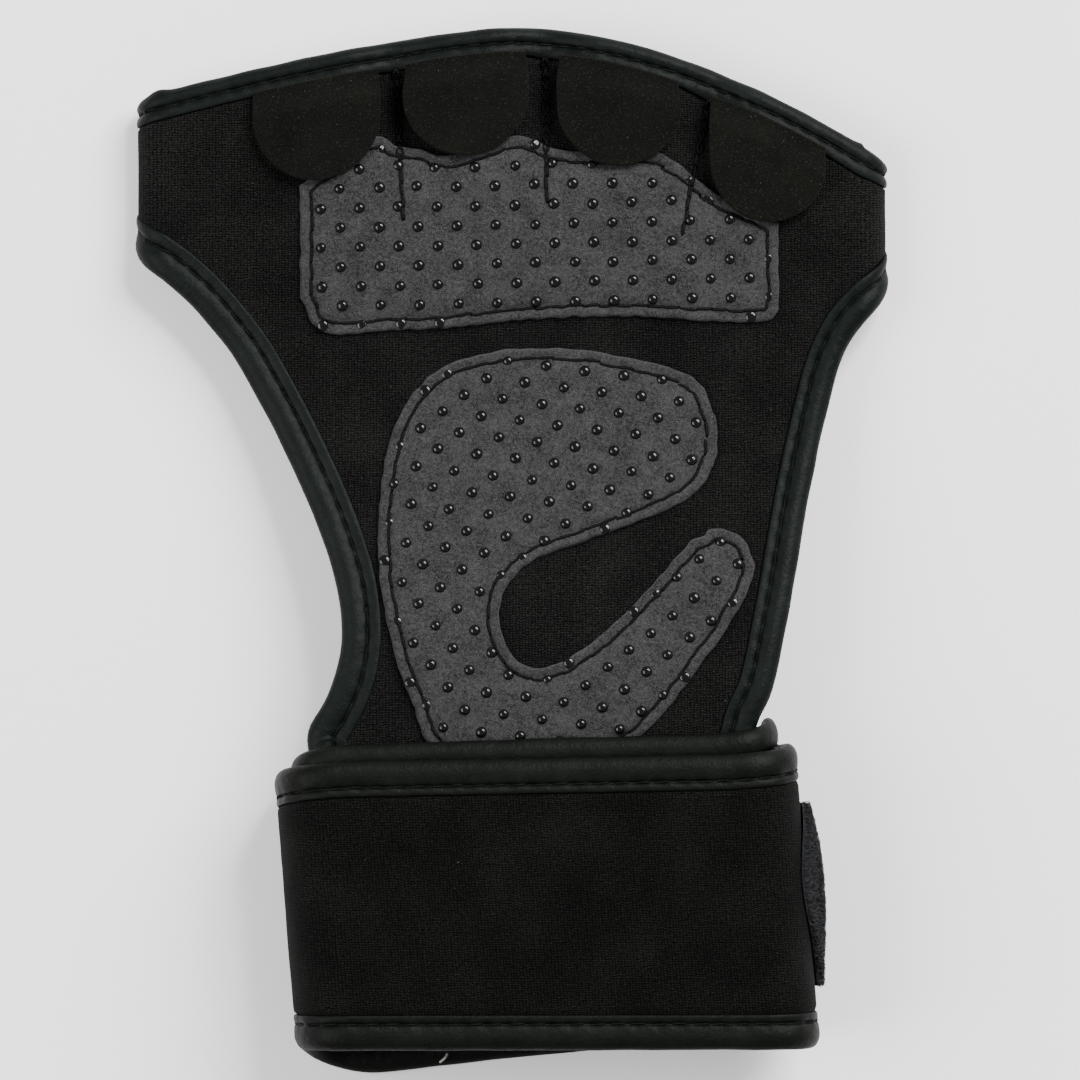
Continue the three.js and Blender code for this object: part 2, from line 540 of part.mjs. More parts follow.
// Finger tab: straight sides down from the top binding and a round end, lying over palm and patch
function fingerTab({ x, y, radius: share }) {
  const radius = share * WIDTH_SHARE;
  const columns = 8;
  const rows = 3;
  const lift = [HALF + GAP, HALF + PATCH_GAP + PATCH + GAP];
  const at = (i, j) => {
    const turn = (Math.PI * i) / columns;
    const px = x * WIDTH_SHARE - radius * Math.cos(turn);
    const high = archY(px) - TOP_BINDING - GAP;
    const low = y * FINGER_LENGTH - radius * Math.sin(turn);
    return onPalm(px, lerp(high, low, j / rows), 0);
  };
  const depth = (i, j) => {
    const under = lerp(lift[0], lift[1], smoothstep(j, 0, 2));
    return [under, under + TAB];
  };
  return sheet(columns, rows, at, depth);
}

const patchDepth = () => [HALF + PATCH_GAP, HALF + PATCH_GAP + PATCH];

// Finger patch: a wide grip patch across the bases of the fingers, with a scalloped upper edge.
// Between its rounded ends its columns are those of the palm, so that it follows the seams.
function fingerPatch() {
  const rows = 7;
  const table = FINGER_PATCH_SECTIONS;
  const inside = columnShares
    .map((share) => (innerLow + share * innerWide - FINGER_PATCH_LEFT) / FINGER_PATCH_WIDTH)
    .filter((across) => across > table[2].across + 0.01 && across < table.at(-3).across - 0.01);
  const ends = [...table.slice(0, 3), ...table.slice(-3)].map((row) => row.across);
  const columns = [...inside, ...ends].sort((a, b) => a - b);
  const at = (i, j) => {
    const [low, high] = ["low", "high"].map((name) => between(table, "across", name, columns[i]));
    const x = FINGER_PATCH_LEFT + FINGER_PATCH_WIDTH * columns[i];
    const y = FINGER_PATCH_BOTTOM + FINGER_PATCH_HEIGHT * lerp(low, high, j / rows);
    return onPalm(x, y, PATCH_SEAM_SHARE);
  };
  return sheet(columns.length - 1, rows, at, patchDepth);
}

// Palm patch: the hook, made of ribs from its outer edge to its inner edge
function palmPatch() {
  const across = 4;
  const at = (i, j) => {
    const rib = PALM_PATCH_RIBS[i];
    const x = PALM_PATCH_LEFT + PALM_PATCH_WIDTH * lerp(rib.outX, rib.inX, j / across);
    const y = PALM_PATCH_TOP - PALM_PATCH_HEIGHT * lerp(rib.outY, rib.inY, j / across);
    return onPalm(x, y);
  };
  return sheet(PALM_PATCH_RIBS.length - 1, across, at, patchDepth);
}

// Middle line of the strap in the X-Z plane, from its sewn start to its closing end. Its sides
// are superellipses, and each turn lies one layer outside the turn before.
function strapLine() {
  const thumbOuter = STRAP_CENTRE - STRAP_SPAN / 2 + HALF;
  const farOuter = STRAP_CENTRE + STRAP_SPAN / 2 - HALF;
  const turn = (side, outermost, zTop, zLow, depth, from, to, count) =>
    Array.from({ length: count + 1 }, (_, k) => {
      const angle = lerp(from, to, k / count);
      const shape = (v) => Math.sign(v) * Math.abs(v) ** (2 / TURN_POWER);
      return {
        x: outermost - side * depth * (1 - shape(Math.cos(angle))),
        z: (zTop + zLow) / 2 + ((zTop - zLow) / 2) * shape(Math.sin(angle)),
      };
    });
  const run = (a, b, count) =>
    Array.from({ length: count - 1 }, (_, k) => ({
      x: lerp(a.x, b.x, (k + 1) / count),
      z: lerp(a.z, b.z, (k + 1) / count),
    }));
  const quarter = Math.PI / 2;
  const outerDepth = TURN_DEPTH + LAYER;
  const innerStart = turn(1, farOuter - LAYER, Z_INNER, Z_BACK, TURN_DEPTH, 0, quarter, 4);
  const innerThumb = turn(
    -1, thumbOuter + LAYER, Z_INNER, Z_BACK, TURN_DEPTH, quarter, -quarter, 8);
  const far = turn(1, farOuter, Z_OUTER, Z_BACK, outerDepth, -quarter, quarter, 8);
  const thumb = turn(-1, thumbOuter, Z_OUTER, Z_END, outerDepth, quarter, -quarter, 9);
  const loop = { x: LOOP_START, z: Z_BACK };
  const hook = { x: HOOK_START, z: Z_END };
  const end = { x: STRAP_END, z: Z_END };
  const line = [
    ...innerStart,
    ...run(innerStart.at(-1), innerThumb[0], 3),
    ...innerThumb,
    ...run(innerThumb.at(-1), loop, 2),
    loop,
    ...run(loop, far[0], 3),
    ...far,
    ...run(far.at(-1), thumb[0], 3),
    ...thumb,
    ...run(thumb.at(-1), hook, 2),
    hook,
    ...run(hook, end, 2),
    end,
  ];
  const middle = (list) => line.indexOf(list[Math.floor(list.length / 2)]);
  const marks = [0, middle(innerThumb), middle(far), middle(thumb), line.indexOf(thumb.at(-1)),
    line.length - 1];
  const [loopFrom, loopTo, hookFrom] = [loop, far[5], hook].map((p) => line.indexOf(p));
  return { line, marks, loopFrom, loopTo, hookFrom };
}
const STRAP = strapLine();

// Finished upper and lower edges of the strap at station k of its line
function strapEdges(k) {
  const at = STRAP.marks.findIndex((mark, n) => k <= STRAP.marks[n + 1]);
  const [a, b] = [STRAP.marks[at], STRAP.marks[at + 1]];
  const edge = (name) =>
    STRAP_WIDTH * lerp(STRAP_EDGES[at][name], STRAP_EDGES[at + 1][name], (k - a) / (b - a));
  return {
    upper: STRAP_MIDDLE + STRAP_WIDTH / 2 + edge("upper"),
    lower: STRAP_MIDDLE - STRAP_WIDTH / 2 + edge("lower"),
  };
}

// Point and outward normal of the strap's middle surface at station k and height y
function onStrap(k, y) {
  const { line } = STRAP;
  const before = line[Math.max(k - 1, 0)];
  const after = line[Math.min(k + 1, line.length - 1)];
  const along = new THREE.Vector2(after.x - before.x, after.z - before.z).normalize();
  const x = line[k].x + STRAP_LEAN * (STRAP_MIDDLE - y);
  return {
    point: new THREE.Vector3(x, y, line[k].z),
    normal: new THREE.Vector3(along.y, STRAP_LEAN * along.y, -along.x).normalize(),
  };
}

const STRAP_REACH = STRAP_BINDING - LIP;
const STRAP_ROWS = 6;
function wristStrap() {
  const bands = [0, STRAP_REACH, STRAP_REACH + STEP];
  const at = (k, r) => {
    const { upper, lower } = strapEdges(k);
    if (r < 3) return onStrap(k, lower + LIP + bands[r]);
    if (r > 3) return onStrap(k, upper - LIP - bands[STRAP_ROWS - r]);
    return onStrap(k, (upper + lower) / 2);
  };
  const depth = (k, r) => (r < 2 || r > STRAP_ROWS - 2 ? pressed : full);
  return sheet(STRAP.line.length - 1, STRAP_ROWS, at, depth);
}
function strapBinding(edge, side) {
  const stations = STRAP.line.map((_, k) => {
    const y = strapEdges(k)[edge] + side * LIP;
    return { edge: onStrap(k, y), inner: onStrap(k, y + side * STRAP_REACH) };
  });
  return binding(stations, false, side);
}

// A fastener patch on the strap between two stations, on its outer face or its inner face
function fastener(from, to, upper, lower, face) {
  const rows = 3;
  const at = (i, r) => onStrap(from + i, lerp(lower, upper, r / rows));
  const near = face * (HALF + GAP);
  const far = near + face * FASTENER;
  return sheet(to - from, rows, at, () => [Math.min(near, far), Math.max(near, far)]);
}
const loopPatch = () => fastener(STRAP.loopFrom, STRAP.loopTo, LOOP_UPPER, LOOP_LOWER, 1);
function hookPatch() {
  const [upper, lower] = [LOOP_UPPER - HOOK_MARGIN, LOOP_LOWER + HOOK_MARGIN];
  return fastener(STRAP.hookFrom, STRAP.line.length - 1, upper, lower, -1);
}

// Finishes
const finish = (color, roughness) =>
  new THREE.MeshStandardMaterial({ color, roughness, metalness: 0, flatShading: true });
const knit = finish(0x151614, 0.9);
const suede = finish(0x414241, 0.95);
const leatherette = finish(0x1f2320, 0.5);
const smoothFoam = finish(0x141513, 0.9);
const pile = finish(0x1c1c1d, 1);

const pieces = [
  ["palm_panel", palmPanel(), knit],
  ["knuckle_band", knuckleBand(), knit],
  ["top_binding", topBinding(), leatherette],
  ["side_binding", sideBinding(), leatherette],
  ["finger_patch", fingerPatch(), suede],
  ["palm_patch", palmPatch(), suede],
  ...TABS.map((tab) => [tab.name, fingerTab(tab), smoothFoam]),
  ["wrist_strap", wristStrap(), knit],
  ["strap_binding_upper", strapBinding("upper", -1), leatherette],
  ["strap_binding_lower", strapBinding("lower", 1), leatherette],
  ["loop_patch", loopPatch(), pile],
  ["hook_patch", hookPatch(), pile],
];

const glove = new THREE.Group();
for (const [name, geometry, material] of pieces) {
  const mesh = new THREE.Mesh(geometry, material);
  mesh.name = name;
  glove.add(mesh);
}
export default glove;
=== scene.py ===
# %% [markdown]
# # A fitness glove, built piece by piece
# The glove lies on its back with the palm up. It is sewn from flat pieces: a foam rubber panel
# with a knitted face, suede grip patches, tapes that bind every edge, four pull tabs and a
# strap wound round the wrist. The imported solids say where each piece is, so this script only
# makes finer surfaces in the same places. Lengths are in millimetres until a mesh is made.

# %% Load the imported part
import bpy
import numpy as np
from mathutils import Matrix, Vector


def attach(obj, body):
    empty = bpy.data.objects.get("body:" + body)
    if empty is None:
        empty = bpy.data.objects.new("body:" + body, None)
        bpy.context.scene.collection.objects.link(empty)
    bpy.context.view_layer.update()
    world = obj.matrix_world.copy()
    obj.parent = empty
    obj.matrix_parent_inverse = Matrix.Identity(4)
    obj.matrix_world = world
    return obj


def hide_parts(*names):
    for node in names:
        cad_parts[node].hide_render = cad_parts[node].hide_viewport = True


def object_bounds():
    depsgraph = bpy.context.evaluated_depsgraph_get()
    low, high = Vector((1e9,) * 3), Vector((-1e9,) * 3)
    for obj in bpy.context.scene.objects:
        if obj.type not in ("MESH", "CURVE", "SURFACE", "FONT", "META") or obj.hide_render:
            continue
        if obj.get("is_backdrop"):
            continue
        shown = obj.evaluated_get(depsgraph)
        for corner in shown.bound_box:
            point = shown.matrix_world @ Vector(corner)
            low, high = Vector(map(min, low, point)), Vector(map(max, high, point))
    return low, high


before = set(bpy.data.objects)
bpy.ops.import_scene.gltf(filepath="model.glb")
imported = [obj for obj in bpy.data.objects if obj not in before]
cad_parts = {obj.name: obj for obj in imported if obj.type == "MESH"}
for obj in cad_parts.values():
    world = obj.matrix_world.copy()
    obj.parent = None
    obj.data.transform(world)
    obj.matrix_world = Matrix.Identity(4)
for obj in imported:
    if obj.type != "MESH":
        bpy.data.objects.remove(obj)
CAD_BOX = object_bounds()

MM = 0.001
print("nodes:", sorted(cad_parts))
print("box of the solids:", CAD_BOX)

# %% [markdown]
# ## Camera
# A flat thing on a table is best shown from straight above with a long lens. The lens length
# follows from the distance and the width that the picture has to hold: a longer distance with
# a longer lens gives the same picture with less perspective.

# %% Camera
PICTURE_WIDTH = 187.6  # millimetres of the glove's plane that the picture holds
PICTURE_CENTRE = (4.9, 2.3)
GLOVE_PLANE = 15.0
CAMERA_DISTANCE = 2000.0
SENSOR = 36.0

camera_data = bpy.data.cameras.new("camera")
camera_data.sensor_width = SENSOR
camera_data.lens = SENSOR * CAMERA_DISTANCE / PICTURE_WIDTH
camera = bpy.data.objects.new("camera", camera_data)
camera.location = [
    PICTURE_CENTRE[0] * MM,
    PICTURE_CENTRE[1] * MM,
    (CAMERA_DISTANCE + GLOVE_PLANE) * MM,
]
bpy.context.scene.collection.objects.link(camera)
bpy.context.scene.camera = camera
print("lens:", round(camera_data.lens, 1), "mm")

# %% [markdown]
# ## Smooth curves and noise
# A sewing pattern is a list of a few points with smooth lines between them. One function draws
# a smooth line through any table, another measures how far points are from an outline, and a
# third gives gentle waves, because no cloth is quite flat.

# %% Curves and noise
def spline(at, table):
    """Smooth curve through the rows of a table, row numbers being the parameter. Between two
    rows it is a cubic whose slope at each row is half the step between the row's neighbours."""
    table = np.asarray(table, float)
    at = np.clip(np.asarray(at, float), 0, len(table) - 1)
    k = np.minimum(at.astype(int), len(table) - 2)
    t = (at - k)[..., None]
    before, after = np.maximum(k - 1, 0), np.minimum(k + 2, len(table) - 1)
    a, b = table[k], table[k + 1]
    slope_a, slope_b = (b - table[before]) / 2, (table[after] - a) / 2
    return (
        (1 + 2 * t) * (1 - t) ** 2 * a
        + t * (1 - t) ** 2 * slope_a
        + t * t * (3 - 2 * t) * b
        + t * t * (t - 1) * slope_b
    )


def ease(value, low, high):
    """0 below low, 1 above high, and a smooth S between them."""
    t = np.clip((value - low) / (high - low), 0, 1)
    return t * t * (3 - 2 * t)


def lengths(line):
    """Distance travelled along a line of points, starting at 0."""
    return np.concatenate([[0], np.cumsum(np.linalg.norm(np.diff(line, axis=0), axis=1))])


def unit(vectors):
    """The vectors, each divided by its length."""
    return vectors / np.linalg.norm(vectors, axis=-1, keepdims=True)


def bell(value, width):
    """1 at 0, a third at the width, next to nothing at twice the width: e to minus a square."""
    return np.exp(-((value / width) ** 2))


def quarter_round(d, reach):
    """A quarter circle from 0 at the edge to 1 at reach, d being the distance from the edge."""
    return np.sqrt(1 - (1 - np.clip(d / reach, 0, 1)) ** 2)


def sampled(values, along, at):
    """The rows of values, which belong to the distances along, read at other distances."""
    return np.stack([np.interp(at, along, v) for v in values.T], axis=-1)


def evenly(line, step, extra=()):
    """The line, and the arrays that go with it, again at points about step apart."""
    along = lengths(line)
    at = np.linspace(0, along[-1], int(along[-1] / step) + 2)
    return [sampled(values, along, at) for values in (line, *extra)]


def blur(line, reach):
    """Each point becomes the mean of its neighbours up to reach points away, weighted by a
    bell curve. The ends stay where they are."""
    kernel = np.exp(-np.linspace(-2, 2, 2 * reach + 1) ** 2)
    kernel /= kernel.sum()
    head = 2 * line[0] - line[reach:0:-1]
    tail = 2 * line[-1] - line[-2 : -reach - 2 : -1]
    whole = np.concatenate([head, line, tail])
    return np.stack([np.convolve(v, kernel, mode="valid") for v in whole.T], axis=-1)


def nearest(flat, start, step):
    """Shortest distance from each point to a set of straight pieces, by start and step."""
    part = flat[:, None] - start
    t = np.clip((part * step).sum(-1) / (step**2).sum(-1).clip(1e-12), 0, 1)
    return np.linalg.norm(part - t[..., None] * step, axis=-1).min(1)


def away(points, line):
    """Shortest distance in the plane from points to an open line."""
    best = nearest(points.reshape(-1, 2), line[:-1], np.diff(line, axis=0))
    return best.reshape(points.shape[:-1])


def distance(points, outline):
    """Distance in the plane from points to a closed outline, positive inside it."""
    flat = points.reshape(-1, 2)
    a, b = outline, np.roll(outline, -1, axis=0)
    step = b - a
    best = nearest(flat, a, step)
    above = (a[:, 1] > flat[:, 1:]) != (b[:, 1] > flat[:, 1:])
    rise = np.where(step[:, 1] == 0, 1e-12, step[:, 1])
    crossing = a[:, 0] + step[:, 0] * (flat[:, 1:] - a[:, 1]) / rise
    inside = (above & (flat[:, :1] < crossing)).sum(1) % 2 == 1
    return np.where(inside, best, -best).reshape(points.shape[:-1])


def waves(x, y, wavelength, seed, count=7):
    """Sum of sine waves in random directions with random phases, from about -1 to 1."""
    random = np.random.default_rng(seed)
    total = 0
    for _ in range(count):
        turn, phase, stretch = random.uniform(0, 2 * np.pi, 3)
        per_mm = 2 * np.pi / (wavelength * (0.7 + 0.1 * stretch))
        total = total + np.sin(per_mm * (x * np.cos(turn) + y * np.sin(turn)) + phase)
    return total / count**0.5 / 1.4


print("spline at 0.5 of 0, 1, 4:", spline(0.5, [[0], [1], [4]]))

# %% [markdown]
# ## From arrays to pieces
# Every sheet here is a grid of points with a normal at each one. Its two faces lie at two
# heights along the normal, and walls close it all round, so the mesh is a closed body like the
# real cloth. A UV map in metres follows the cloth, so that a knit can turn with it.

# %% Mesh makers
ON_FLOOR = 0.02  # cloth that would reach lower is pressed flat on the floor


def make(name, points, faces, uv, material, node=None):
    """An object from points in millimetres, faces and one UV pair a point. It stands for the
    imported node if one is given, and rides on the part's only body."""
    mesh = bpy.data.meshes.new(name)
    points = np.concatenate([points[:, :2], points[:, 2:].clip(ON_FLOOR)], 1)
    used, numbers = np.unique(np.concatenate([f.ravel() for f in faces]), return_inverse=True)
    splits = np.cumsum([f.size for f in faces])[:-1]
    parts = [n.reshape(f.shape) for n, f in zip(np.split(numbers, splits), faces)]
    mesh.from_pydata((points[used] * MM).tolist(), [], sum((p.tolist() for p in parts), []))
    corners = np.zeros(len(mesh.loops), np.int32)
    mesh.loops.foreach_get("vertex_index", corners)
    layer = mesh.uv_layers.new(name="cloth")
    layer.data.foreach_set("uv", (uv[used] * MM)[corners].ravel().astype(np.float32))
    mesh.polygons.foreach_set("use_smooth", np.ones(len(mesh.polygons), bool))
    mesh.materials.append(material)
    mesh.update()
    piece = bpy.data.objects.new(name, mesh)
    bpy.context.scene.collection.objects.link(piece)
    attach(piece, "root")
    if node:
        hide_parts(node)
    print(name, len(mesh.vertices), "points", len(mesh.polygons), "faces")
    return piece


def outwards(points, faces):
    """The faces, turned round if the volume that they enclose is negative. The volume is a
    sixth of the sum over the triangles of corner a times the cross product of b and c."""
    volume = 0
    for f in faces:
        for k in range(1, f.shape[1] - 1):
            a, b, c = points[f[:, 0]], points[f[:, k]], points[f[:, k + 1]]
            volume += (a * np.cross(b, c)).sum()
    return faces if volume > 0 else [f[:, ::-1] for f in faces]


def sheet(P, N, near, far, keep=None):
    """Points and faces of a closed sheet on the grid P with unit normals N. Its faces lie near
    and far along the normals, and where both are the same height they share their points."""
    rows, columns = P.shape[:2]
    count = rows * columns
    near, far = (np.broadcast_to(v, (rows, columns))[..., None] for v in (near, far))
    keep = np.ones((rows - 1, columns - 1), bool) if keep is None else keep
    upper = np.arange(count).reshape(rows, columns)
    lower = np.where(np.abs(far - near)[..., 0] < 1e-6, upper, upper + count)
    faces = []
    for grid, order in ((upper, 1), (lower, -1)):
        cell = [grid[:-1, :-1], grid[:-1, 1:], grid[1:, 1:], grid[1:, :-1]]
        faces.append(np.stack(cell, -1)[keep][:, ::order])
    around = np.pad(keep, 1)
    beside = [around[:-2, 1:-1], around[1:-1, 2:], around[2:, 1:-1], around[1:-1, :-2]]
    ring = [(slice(None, -1), slice(None, -1)), (slice(None, -1), slice(1, None)),
            (slice(1, None), slice(1, None)), (slice(1, None), slice(None, -1))]
    for side in range(4):
        free = keep & ~beside[side]
        p, q = ring[side], ring[(side + 1) % 4]
        wall = np.stack([upper[q], upper[p], lower[p], lower[q]], -1)[free]
        faces.append(wall[(wall[:, 0] != wall[:, 3]) & (wall[:, 1] != wall[:, 2])])
    points = np.concatenate([(P + N * far).reshape(-1, 3), (P + N * near).reshape(-1, 3)])
    faces = [f for f in faces if len(f)]
    return points, outwards(points, faces)


def cloth(name, P, N, near, far, flat, finish, node, keep=None):
    """A closed sheet as a piece. flat is each grid point's place on the unrolled cloth, across
    and up, and it becomes the UV map of both faces."""
    points, faces = sheet(P, N, near, far, keep)
    uv = np.tile(np.stack(flat, -1).reshape(-1, 2), (2, 1))
    return make(name, points, faces, uv, finish, node)


def tubes(lines, radius, sides=6, closed=False):
    """Round threads along many short lines at once: lines holds the points of each, radius
    one number or one for each point. A circle is drawn across the line at each point."""
    count, steps = lines.shape[:2]
    along = np.gradient(lines, axis=1)
    if closed:
        along = (np.roll(lines, -1, axis=1) - np.roll(lines, 1, axis=1)) / 2
    along = unit(along)
    helper = np.where(np.abs(along[..., 2:]) < 0.8, [0.0, 0.0, 1.0], [1.0, 0.0, 0.0])
    side = unit(np.cross(along, helper))
    up = np.cross(side, along)
    turn = 2 * np.pi * np.arange(sides) / sides
    circle = side[..., None, :] * np.cos(turn)[:, None] + up[..., None, :] * np.sin(turn)[:, None]
    radius = np.broadcast_to(radius, (count, steps))[..., None, None]
    points = (lines[..., None, :] + circle * radius).reshape(-1, 3)
    number = np.arange(count * steps * sides).reshape(count, steps, sides)
    after = np.roll(number, -1, axis=1) if closed else number[:, 1:]
    before = number if closed else number[:, :-1]
    pairs = [before, np.roll(before, -1, axis=2), np.roll(after, -1, axis=2), after]
    faces = [np.stack(pairs, -1).reshape(-1, 4)]
    if not closed:
        faces += [number[:, 0, ::-1], number[:, -1]]
    travelled = np.linalg.norm(np.diff(lines, axis=1), axis=-1).cumsum(1)
    travelled = np.pad(travelled, ((0, 0), (1, 0)))
    uv = np.stack(np.broadcast_arrays(travelled[..., None], turn), -1).reshape(-1, 2)
    return points, outwards(points, faces), uv


print("mesh makers are ready")

# %% [markdown]
# ## Sizes
# These are the same named sizes as in the solids, because a finer surface has to lie where the
# solid lies. Shares are of half the glove's width across, and of its finger length along.

# %% Sizes of the cloth
NEOPRENE, PRESSED, BINDING_WALL, PATCH, TAB, FASTENER = 2.8, 0.8, 0.7, 0.9, 1.3, 0.8
GAP, PATCH_GAP, SLIP = 0.3, 0.4, 0.2
HALF = NEOPRENE / 2
LIP = BINDING_WALL + SLIP
LAYER = NEOPRENE + GAP
GLOVE_WIDTH, FINGER_LENGTH = 130.6, 91.6
WIDTH_SHARE = GLOVE_WIDTH / 2
ARCH_APEX = 1.4
ARCH_DROP, ARCH_POWER = (12.4, 23.4), (1.45, 1.75)  # thumb side, outer side
BACK_SETBACK, FOLD_RADIUS, WING, CROWN, WRIST_HOLLOW = 1.2, 3.6, 8.0, 1.8, 10.0
KNUCKLE_BOW, PALM_LENGTH, PALM_TAIL_Y = 2.5, 110.0, -61.7
TOP_BINDING, THUMB_BINDING, OUTER_BINDING = 4.7, 6.9, 5.9
KNUCKLE_BINDING, STRAP_BINDING = 6.3, 6.1
FOLD_X = GLOVE_WIDTH / 2 - FOLD_RADIUS - HALF
FOLD_TOP = HALF + 2 * FOLD_RADIUS
FOLD_ARC = np.pi * FOLD_RADIUS
CIRCUIT = 2 * (2 * FOLD_X + FOLD_ARC)  # once round the finger tube
Z_END = HALF
Z_BACK = Z_END + NEOPRENE + 3 * GAP + 2 * FASTENER
Z_PALM = Z_BACK + NEOPRENE + WRIST_HOLLOW
Z_TAIL = Z_PALM + PATCH + PATCH_GAP
Z_INNER = Z_TAIL + LAYER
Z_OUTER = Z_INNER + LAYER
STRAP_WIDTH, STRAP_MIDDLE, STRAP_LEAN = 50.0, -61.0, 0.08

# columns: thumb edge's height and place, outer edge's height and place
PALM_SECTIONS = np.array([
    [0.0, -0.383, 0.03, 0.55], [0.16, -0.452, 0.225, 0.605], [0.2, -0.5, 0.265, 0.628],
    [0.243, -0.523, 0.303, 0.643], [0.278, -0.531, 0.334, 0.671], [0.311, -0.497, 0.365, 0.687],
    [0.347, -0.467, 0.397, 0.699], [0.388, -0.446, 0.434, 0.711], [0.438, -0.438, 0.479, 0.726],
    [0.502, -0.449, 0.529, 0.741], [0.565, -0.479, 0.584, 0.757], [0.629, -0.519, 0.638, 0.773],
    [0.694, -0.568, 0.694, 0.792], [0.757, -0.619, 0.747, 0.812], [0.821, -0.677, 0.797, 0.832],
    [0.875, -0.73, 0.843, 0.851], [0.916, -0.783, 0.879, 0.874], [0.956, -0.841, 0.906, 0.896],
])
THUMB_FOLD_UP, OUTER_FOLD_UP = 1.0, 0.929
THUMB_RISE, OUTER_RISE = 8.5, 12.0  # how far the lower edge climbs on each wing
FIRST_BOUND = 2  # the side binding starts at this row, under the strap

# columns: top place and height, lower place and height
SEAMS = np.array([
    [-0.31, 0.93, -0.288, 0.633], [0.089, 0.95, 0.092, 0.666], [0.53, 0.87, 0.452, 0.604],
])
SEAM_REACH, SEAM_FADE, SEAM_RIDGE, SEAM_AT_EDGE, PATCH_SEAM_SHARE = 7.5, 22.0, 1.8, 0.5, 0.8
SEAM_ROUND, EDGE_ROUND = 1.9, 3.4  # how far the valley's bottom is rounded, and at the tape

fold_y = lambda share: PALM_TAIL_Y + PALM_LENGTH * share
THUMB_EDGE = np.array([*zip(PALM_SECTIONS[:, 1] * WIDTH_SHARE, fold_y(PALM_SECTIONS[:, 0])),
                       (-FOLD_X, fold_y(THUMB_FOLD_UP))])
OUTER_EDGE = np.array([*zip(PALM_SECTIONS[:, 3] * WIDTH_SHARE, fold_y(PALM_SECTIONS[:, 2])),
                       (FOLD_X, fold_y(OUTER_FOLD_UP))])
print("strap's top at", round(Z_OUTER + HALF, 1), "mm; once round:", round(CIRCUIT, 1), "mm")

# %% [markdown]
# ## The shape that the panel is bent to
# The palm rests on its two side folds, bulges a little between them, dips into a valley at each
# finger seam and climbs to the wrist. Round the folds and along the back it is a tube. So each
# point of the unrolled cloth, its distance across and its height, has one place in space. One
# function that gives this place serves the panel, its tapes, patches, tabs and stitches.

# %% The bent shape
def arch_y(x):
    """Height of the finger edge: it falls from its apex with a power of the distance."""
    away = x - ARCH_APEX
    thumb = away < 0
    span = np.where(thumb, WIDTH_SHARE + ARCH_APEX, WIDTH_SHARE - ARCH_APEX)
    drop = np.where(thumb, ARCH_DROP[0], ARCH_DROP[1])
    power = np.where(thumb, ARCH_POWER[0], ARCH_POWER[1])
    return FINGER_LENGTH - drop * (np.abs(away) / span) ** power


def openness(x, y, share=1.0):
    """How open the finger tube is: 0 on a seam, where palm and back meet, and 1 away from it.
    Each seam's valley is one minus a quarter sine, and it runs out below the seam."""
    rest = np.ones(np.broadcast(x, y).shape)
    for top_x, top_y, end_x, end_y in SEAMS:
        low, high = end_y * FINGER_LENGTH, top_y * FINGER_LENGTH
        t = np.clip((y - low) / (high - low), 0, 1.2)
        middle = WIDTH_SHARE * (end_x + (top_x - end_x) * t)
        below = ease(arch_y(x) - y, TOP_BINDING / 2, 2 * TOP_BINDING)
        soft = EDGE_ROUND + (SEAM_ROUND - EDGE_ROUND) * below
        beside = np.sqrt((x - middle) ** 2 + soft**2) - soft
        valley = 1 - np.sin(np.clip(beside / SEAM_REACH, 0, 1) * np.pi / 2)
        depth = ease(y, low, low + SEAM_FADE) * (SEAM_AT_EDGE + (1 - SEAM_AT_EDGE) * below)
        rest = rest * (1 - share * depth * valley)
    return rest


def palm_height(x, y, share=1.0):
    """Height of the palm's middle surface: the tube's bulge, blended into the climb to the
    wrist and pulled down at the seams by their openness."""
    thumb = np.interp(y, THUMB_EDGE[:, 1], THUMB_EDGE[:, 0])
    outer = np.interp(y, OUTER_EDGE[:, 1], OUTER_EDGE[:, 0])
    across = np.clip((2 * x - thumb - outer) / (outer - thumb), -1, 1)
    tube = FOLD_TOP + CROWN * (1 - np.abs(across) ** 2.2) ** 1.3
    climb_end = STRAP_MIDDLE + STRAP_WIDTH / 2 + 6
    climb = 1 - ease(y, climb_end, fold_y(OUTER_FOLD_UP))
    tucked = 1 - ease(y, climb_end - 24, climb_end - 14)
    free = tube + (Z_PALM - tube) * climb + (Z_TAIL - Z_PALM) * tucked
    floor = HALF + SEAM_RIDGE + NEOPRENE + GAP
    return floor + (free - floor) * openness(x, y, share)


def band_height(x, y):
    """Height of the back's middle surface, which rises to the palm at the seams."""
    return HALF + SEAM_RIDGE * (1 - openness(x, y))


def lift(height, x, y, up):
    """Points and normals of a surface given by its height: the normal is minus the slopes."""
    d = 0.4
    slope_x = (height(x + d, y) - height(x - d, y)) / (2 * d)
    slope_y = (height(x, y + d) - height(x, y - d)) / (2 * d)
    normal = np.stack([-slope_x, -slope_y, np.ones_like(slope_x)], -1) * up
    return np.stack([x, y, height(x, y)], -1), unit(normal)


def on_palm(x, y, share=1.0):
    """Points and normals of the palm's middle surface."""
    return lift(lambda px, py: palm_height(px, py, share), x, y, 1)


def once_round(a):
    """The distance a, brought into the one turn of the tube that has the palm in its middle."""
    return (a + CIRCUIT / 2) % CIRCUIT - CIRCUIT / 2


